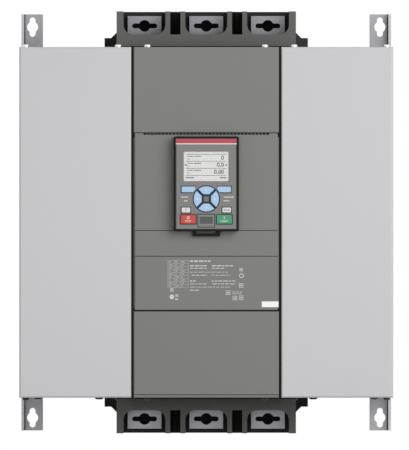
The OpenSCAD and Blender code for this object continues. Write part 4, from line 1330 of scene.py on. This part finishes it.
@dataclass
class Fasteners(SubAssembly):
    """Screws with domed, cross-driven heads in place of the plain ones.

    Attributes:
        drive_arm, drive_half: Reach and half width of the cross, as shares of the head's radius.
        drive_depth: Depth of the cross, as a share of the head's height.
        head_h: Height of the head, as a share of its radius.
        dome: Radius and height of each ring of the head from its top, as shares of the head's own.
        shank: Radius of the shank, as a share of the head's.
        segments: Sides of the round parts.
        weld: Distance in metres under which two points of a CAD mesh are one.
    """

    nodes: tuple[str, ...] = ("cover_screws", "fan_screws")
    drive_arm: float = 0.52
    drive_half: float = 0.13
    drive_depth: float = 0.75
    head_h: float = 0.8
    dome: tuple[Span, ...] = ((0.62, -0.03), (0.82, -0.12), (0.95, -0.32), (1.0, -0.6), (1.0, -1.0))
    shank: float = 0.42
    segments: int = 32
    weld: float = 1e-6

    def build(self) -> None:
        """Put bright cover screws above, black ones below as painted shade on zinc screws, and black fan
        screws for the plain ones.
        """
        bright, dark, fan = Sketch(), Sketch(), Sketch()
        for low, high in self.solids("cover_screws"):
            self.screw(bright if low.z > 0 else dark, low, high)
        for low, high in self.solids("fan_screws"):
            self.screw(fan, low, high)
        upper = bright.piece("upper_cover_screws", Surface.ZINC_SCREW, "case", "zinc_screw")
        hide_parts("cover_screws")
        # Cover screws under the case: black as painted shade, the real ones being zinc like those above
        dark.piece("lower_cover_screws", Surface.BLACK_SCREW, "case", "black_screw")
        driven = fan.piece("driven_fan_screws", Surface.BLACK_SCREW, "case", "black_screw")
        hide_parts("fan_screws")

    def solids(self, node: str) -> list[tuple[Vector, Vector]]:
        """Find the box of each separate solid in a CAD node.

        Args:
            node: Name of the node.

        Returns:
            The lowest and highest corner of each solid, in millimetres.
        """
        bm = bmesh.new()
        bm.from_mesh(self.frame["nodes"][node].data)
        bmesh.ops.remove_doubles(bm, verts=bm.verts, dist=self.weld)
        bm.verts.index_update()
        seen: set[int] = set()
        boxes = []
        for start in bm.verts:
            if start.index in seen:
                continue
            seen.add(start.index)
            island = [start]
            for vert in island:
                for edge in vert.link_edges:
                    other = edge.other_vert(vert)
                    if other.index not in seen:
                        seen.add(other.index)
                        island.append(other)
            points = [vert.co / MM for vert in island]
            boxes.append((Vector(map(min, *points)), Vector(map(max, *points))))
        bm.free()
        return boxes

    def screw(self, group: Sketch, low: Vector, high: Vector) -> None:
        """Draw one screw with its head upwards above the case and downwards below it.

        Args:
            group: Sketch that gets the screw.
            low: Lowest corner of the plain screw.
            high: Highest corner of the plain screw.
        """
        bm = group.bm
        radius = (high.x - low.x) / 2
        length = high.z - low.z
        head = radius * self.head_h
        upright = high.z + low.z > 0
        tip = Vector(((low.x + high.x) / 2, (low.y + high.y) / 2, high.z if upright else low.z))
        place = Matrix.Translation(tip * MM) @ Matrix.Rotation(0 if upright else math.pi, 4, "X")
        arm, half = radius * self.drive_arm, radius * self.drive_half
        cross = []
        for quarter in range(4):
            turn = Matrix.Rotation(quarter * math.pi / 2, 4, "Z")
            corners = ((arm, -half), (arm, half), (half, half))
            cross += [bm.verts.new(place @ turn @ (Vector((x, y, 0)) * MM)) for x, y in corners]
        mouth = [bm.edges.new((cross[i - 1], cross[i])) for i in range(len(cross))]
        sunk = bmesh.ops.extrude_edge_only(bm, edges=mouth)["geom"]
        floor = [g for g in sunk if isinstance(g, bmesh.types.BMVert)]
        down = place.to_3x3() @ Vector((0, 0, -head * self.drive_depth)) * MM
        bmesh.ops.translate(bm, verts=floor, vec=down)
        bmesh.ops.contextual_create(bm, geom=[g for g in sunk if isinstance(g, bmesh.types.BMEdge)])
        loop = mouth
        for share, drop in (*self.dome, (self.shank, -1.0), (self.shank, -length / head)):
            rim = bmesh.ops.create_circle(
                bm, cap_ends=False, segments=self.segments, radius=radius * share * MM,
                matrix=place @ Matrix.Translation((0, 0, drop * head * MM)),
            )["verts"]
            edges = list(dict.fromkeys(edge for vert in rim for edge in vert.link_edges))
            bmesh.ops.bridge_loops(bm, edges=loop + edges)
            loop = edges
        bmesh.ops.contextual_create(bm, geom=loop)


@dataclass(frozen=True)
class SoftBox:
    """A square soft box that faces the object.

    Attributes:
        name: Name of the light.
        towards: Direction from the object to the light.
        power: Its power in watts.
        away: Its distance in metres.
        size: Its width in metres.
    """

    name: str
    towards: tuple[float, float, float]
    power: float
    away: float = 3.4
    size: float = 1.3

    def hang(self) -> None:
        """Hang the soft box in the studio."""
        data = bpy.data.lights.new(self.name, "AREA")
        data.energy = self.power
        data.size = self.size
        lamp = bpy.data.objects.new(self.name, data)
        direction = Vector(self.towards).normalized()
        lamp.location = direction * self.away
        lamp.rotation_euler = direction.to_track_quat("Z", "Y").to_euler()
        bpy.context.scene.collection.objects.link(lamp)


@dataclass
class Studio:
    """White background, two soft boxes, floor and a far camera straight in front.

    Attributes:
        aim: Point in the middle of the picture.
        picture_h: Height of the picture at the aim.
        lens, sensor: Focal length and sensor size of the camera.
        clip_near: Distance in metres from which the camera sees.
        fill: Strength of the even light from all round.
        lamps: The soft boxes.
        floor_drop: Height of the part above the floor, which stays under the picture's lower edge.
        floor_half: Half the width of the floor.
        floor_colour, floor_roughness, floor_glow: The floor as it is seen.
        floor_bounce: Its colour for the light that it throws back.
    """

    aim: tuple[float, float, float] = (-2.04, -190.0, -3.08)
    picture_h: float = 525.5
    lens: float = 1500.0
    sensor: float = 36.0
    clip_near: float = 1.0
    fill: float = 0.34
    lamps: tuple[SoftBox, ...] = (
        SoftBox("key_light", (0.6, -1.0, 0.35), 76.0, size=2.4),
        SoftBox("front_light", (-0.1, -1.0, -0.12), 10.0),
    )
    floor_drop: float = 32.0
    floor_half: float = 600.0
    floor_colour: str = "#f4f4f4"
    floor_roughness: float = 0.9
    floor_glow: float = 0.9
    floor_bounce: str = "#969696"

    def build(self, lowest: float) -> None:
        """Make the camera, the light and the floor.

        Args:
            lowest: Height of the part's lowest point, in metres.
        """
        bpy.context.scene.view_settings.view_transform = "Standard"
        self.camera()
        self.world()
        for lamp in self.lamps:
            lamp.hang()
        self.floor(lowest - self.floor_drop * MM)

    def camera(self) -> None:
        """Set the camera so far away that the picture has practically no perspective."""
        away = self.picture_h * self.lens / self.sensor * MM
        data = bpy.data.cameras.new("camera")
        data.lens = self.lens
        data.sensor_width = self.sensor
        data.clip_start = self.clip_near
        data.clip_end = 2 * away
        camera = bpy.data.objects.new("camera", data)
        camera.location = Vector(self.aim) * MM - Vector((0, away, 0))
        camera.rotation_euler = (math.pi / 2, 0, 0)
        bpy.context.scene.collection.objects.link(camera)
        bpy.context.scene.camera = camera

    def seen_directly(self, tree: Tree) -> Socket:
        """Give 1 for what the camera sees, straight on or in metal and glass, and 0 for light that bounces.

        Args:
            tree: Node tree of the world or the floor.

        Returns:
            The value's socket.
        """
        path = add_node(tree, "ShaderNodeLightPath").outputs
        ways = {0: path["Is Camera Ray"], 1: path["Is Glossy Ray"]}
        first = add_node(tree, "ShaderNodeMath", ways, operation="MAXIMUM")
        ways = {0: first.outputs[0], 1: path["Is Transmission Ray"]}
        return add_node(tree, "ShaderNodeMath", ways, operation="MAXIMUM").outputs[0]

    def world(self) -> None:
        """Make the background white to the eye and an even, weaker fill to the object."""
        world = bpy.data.worlds.new("studio")
        world.use_nodes = True
        tree = world.node_tree
        limits = {"Value": self.seen_directly(tree), "To Min": self.fill, "To Max": 1.0}
        strength = add_node(tree, "ShaderNodeMapRange", limits)
        background = tree.nodes["Background"]
        background.inputs["Color"].default_value = (1, 1, 1, 1)
        tree.links.new(strength.outputs["Result"], background.inputs["Strength"])
        bpy.context.scene.world = world

    def floor(self, height: float) -> None:
        """Lay a pale floor that throws little light back on the object.

        Args:
            height: Height of the floor, in metres.
        """
        bm = bmesh.new()
        bmesh.ops.create_grid(bm, x_segments=1, y_segments=1, size=self.floor_half * MM)
        bmesh.ops.translate(bm, verts=bm.verts, vec=(0, 0, height))
        mesh = bpy.data.meshes.new("floor")
        bm.to_mesh(mesh)
        bm.free()
        floor = bpy.data.objects.new("floor", mesh)
        bpy.context.scene.collection.objects.link(floor)
        material = bpy.data.materials.new("pale_floor")
        material.use_nodes = True
        tree = material.node_tree
        pale = tree.nodes["Principled BSDF"]
        pale.inputs["Base Color"].default_value = linear(self.floor_colour)
        pale.inputs["Roughness"].default_value = self.floor_roughness
        pale.inputs["Emission Color"].default_value = (1, 1, 1, 1)
        pale.inputs["Emission Strength"].default_value = self.floor_glow
        dim = add_node(tree, "ShaderNodeBsdfDiffuse", {"Color": linear(self.floor_bounce)})
        shaders = {0: self.seen_directly(tree), 1: dim.outputs[0], 2: pale.outputs[0]}
        either = add_node(tree, "ShaderNodeMixShader", shaders)
        tree.links.new(either.outputs[0], tree.nodes["Material Output"].inputs["Surface"])
        mesh.materials.append(material)
        floor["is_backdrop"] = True


def main() -> None:
    """Load the frame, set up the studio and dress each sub-assembly."""
    logging.basicConfig(level=logging.INFO, format="%(message)s")
    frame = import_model()
    cad_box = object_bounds()
    Studio().build(cad_box[0].z)
    for kind in (SheetMetal, PowerTrain, FrontMoulding, Keypad, Fasteners):
        assembly = kind(frame)
        assembly.dress()
        assembly.build()


if __name__ == "__main__":
    main()
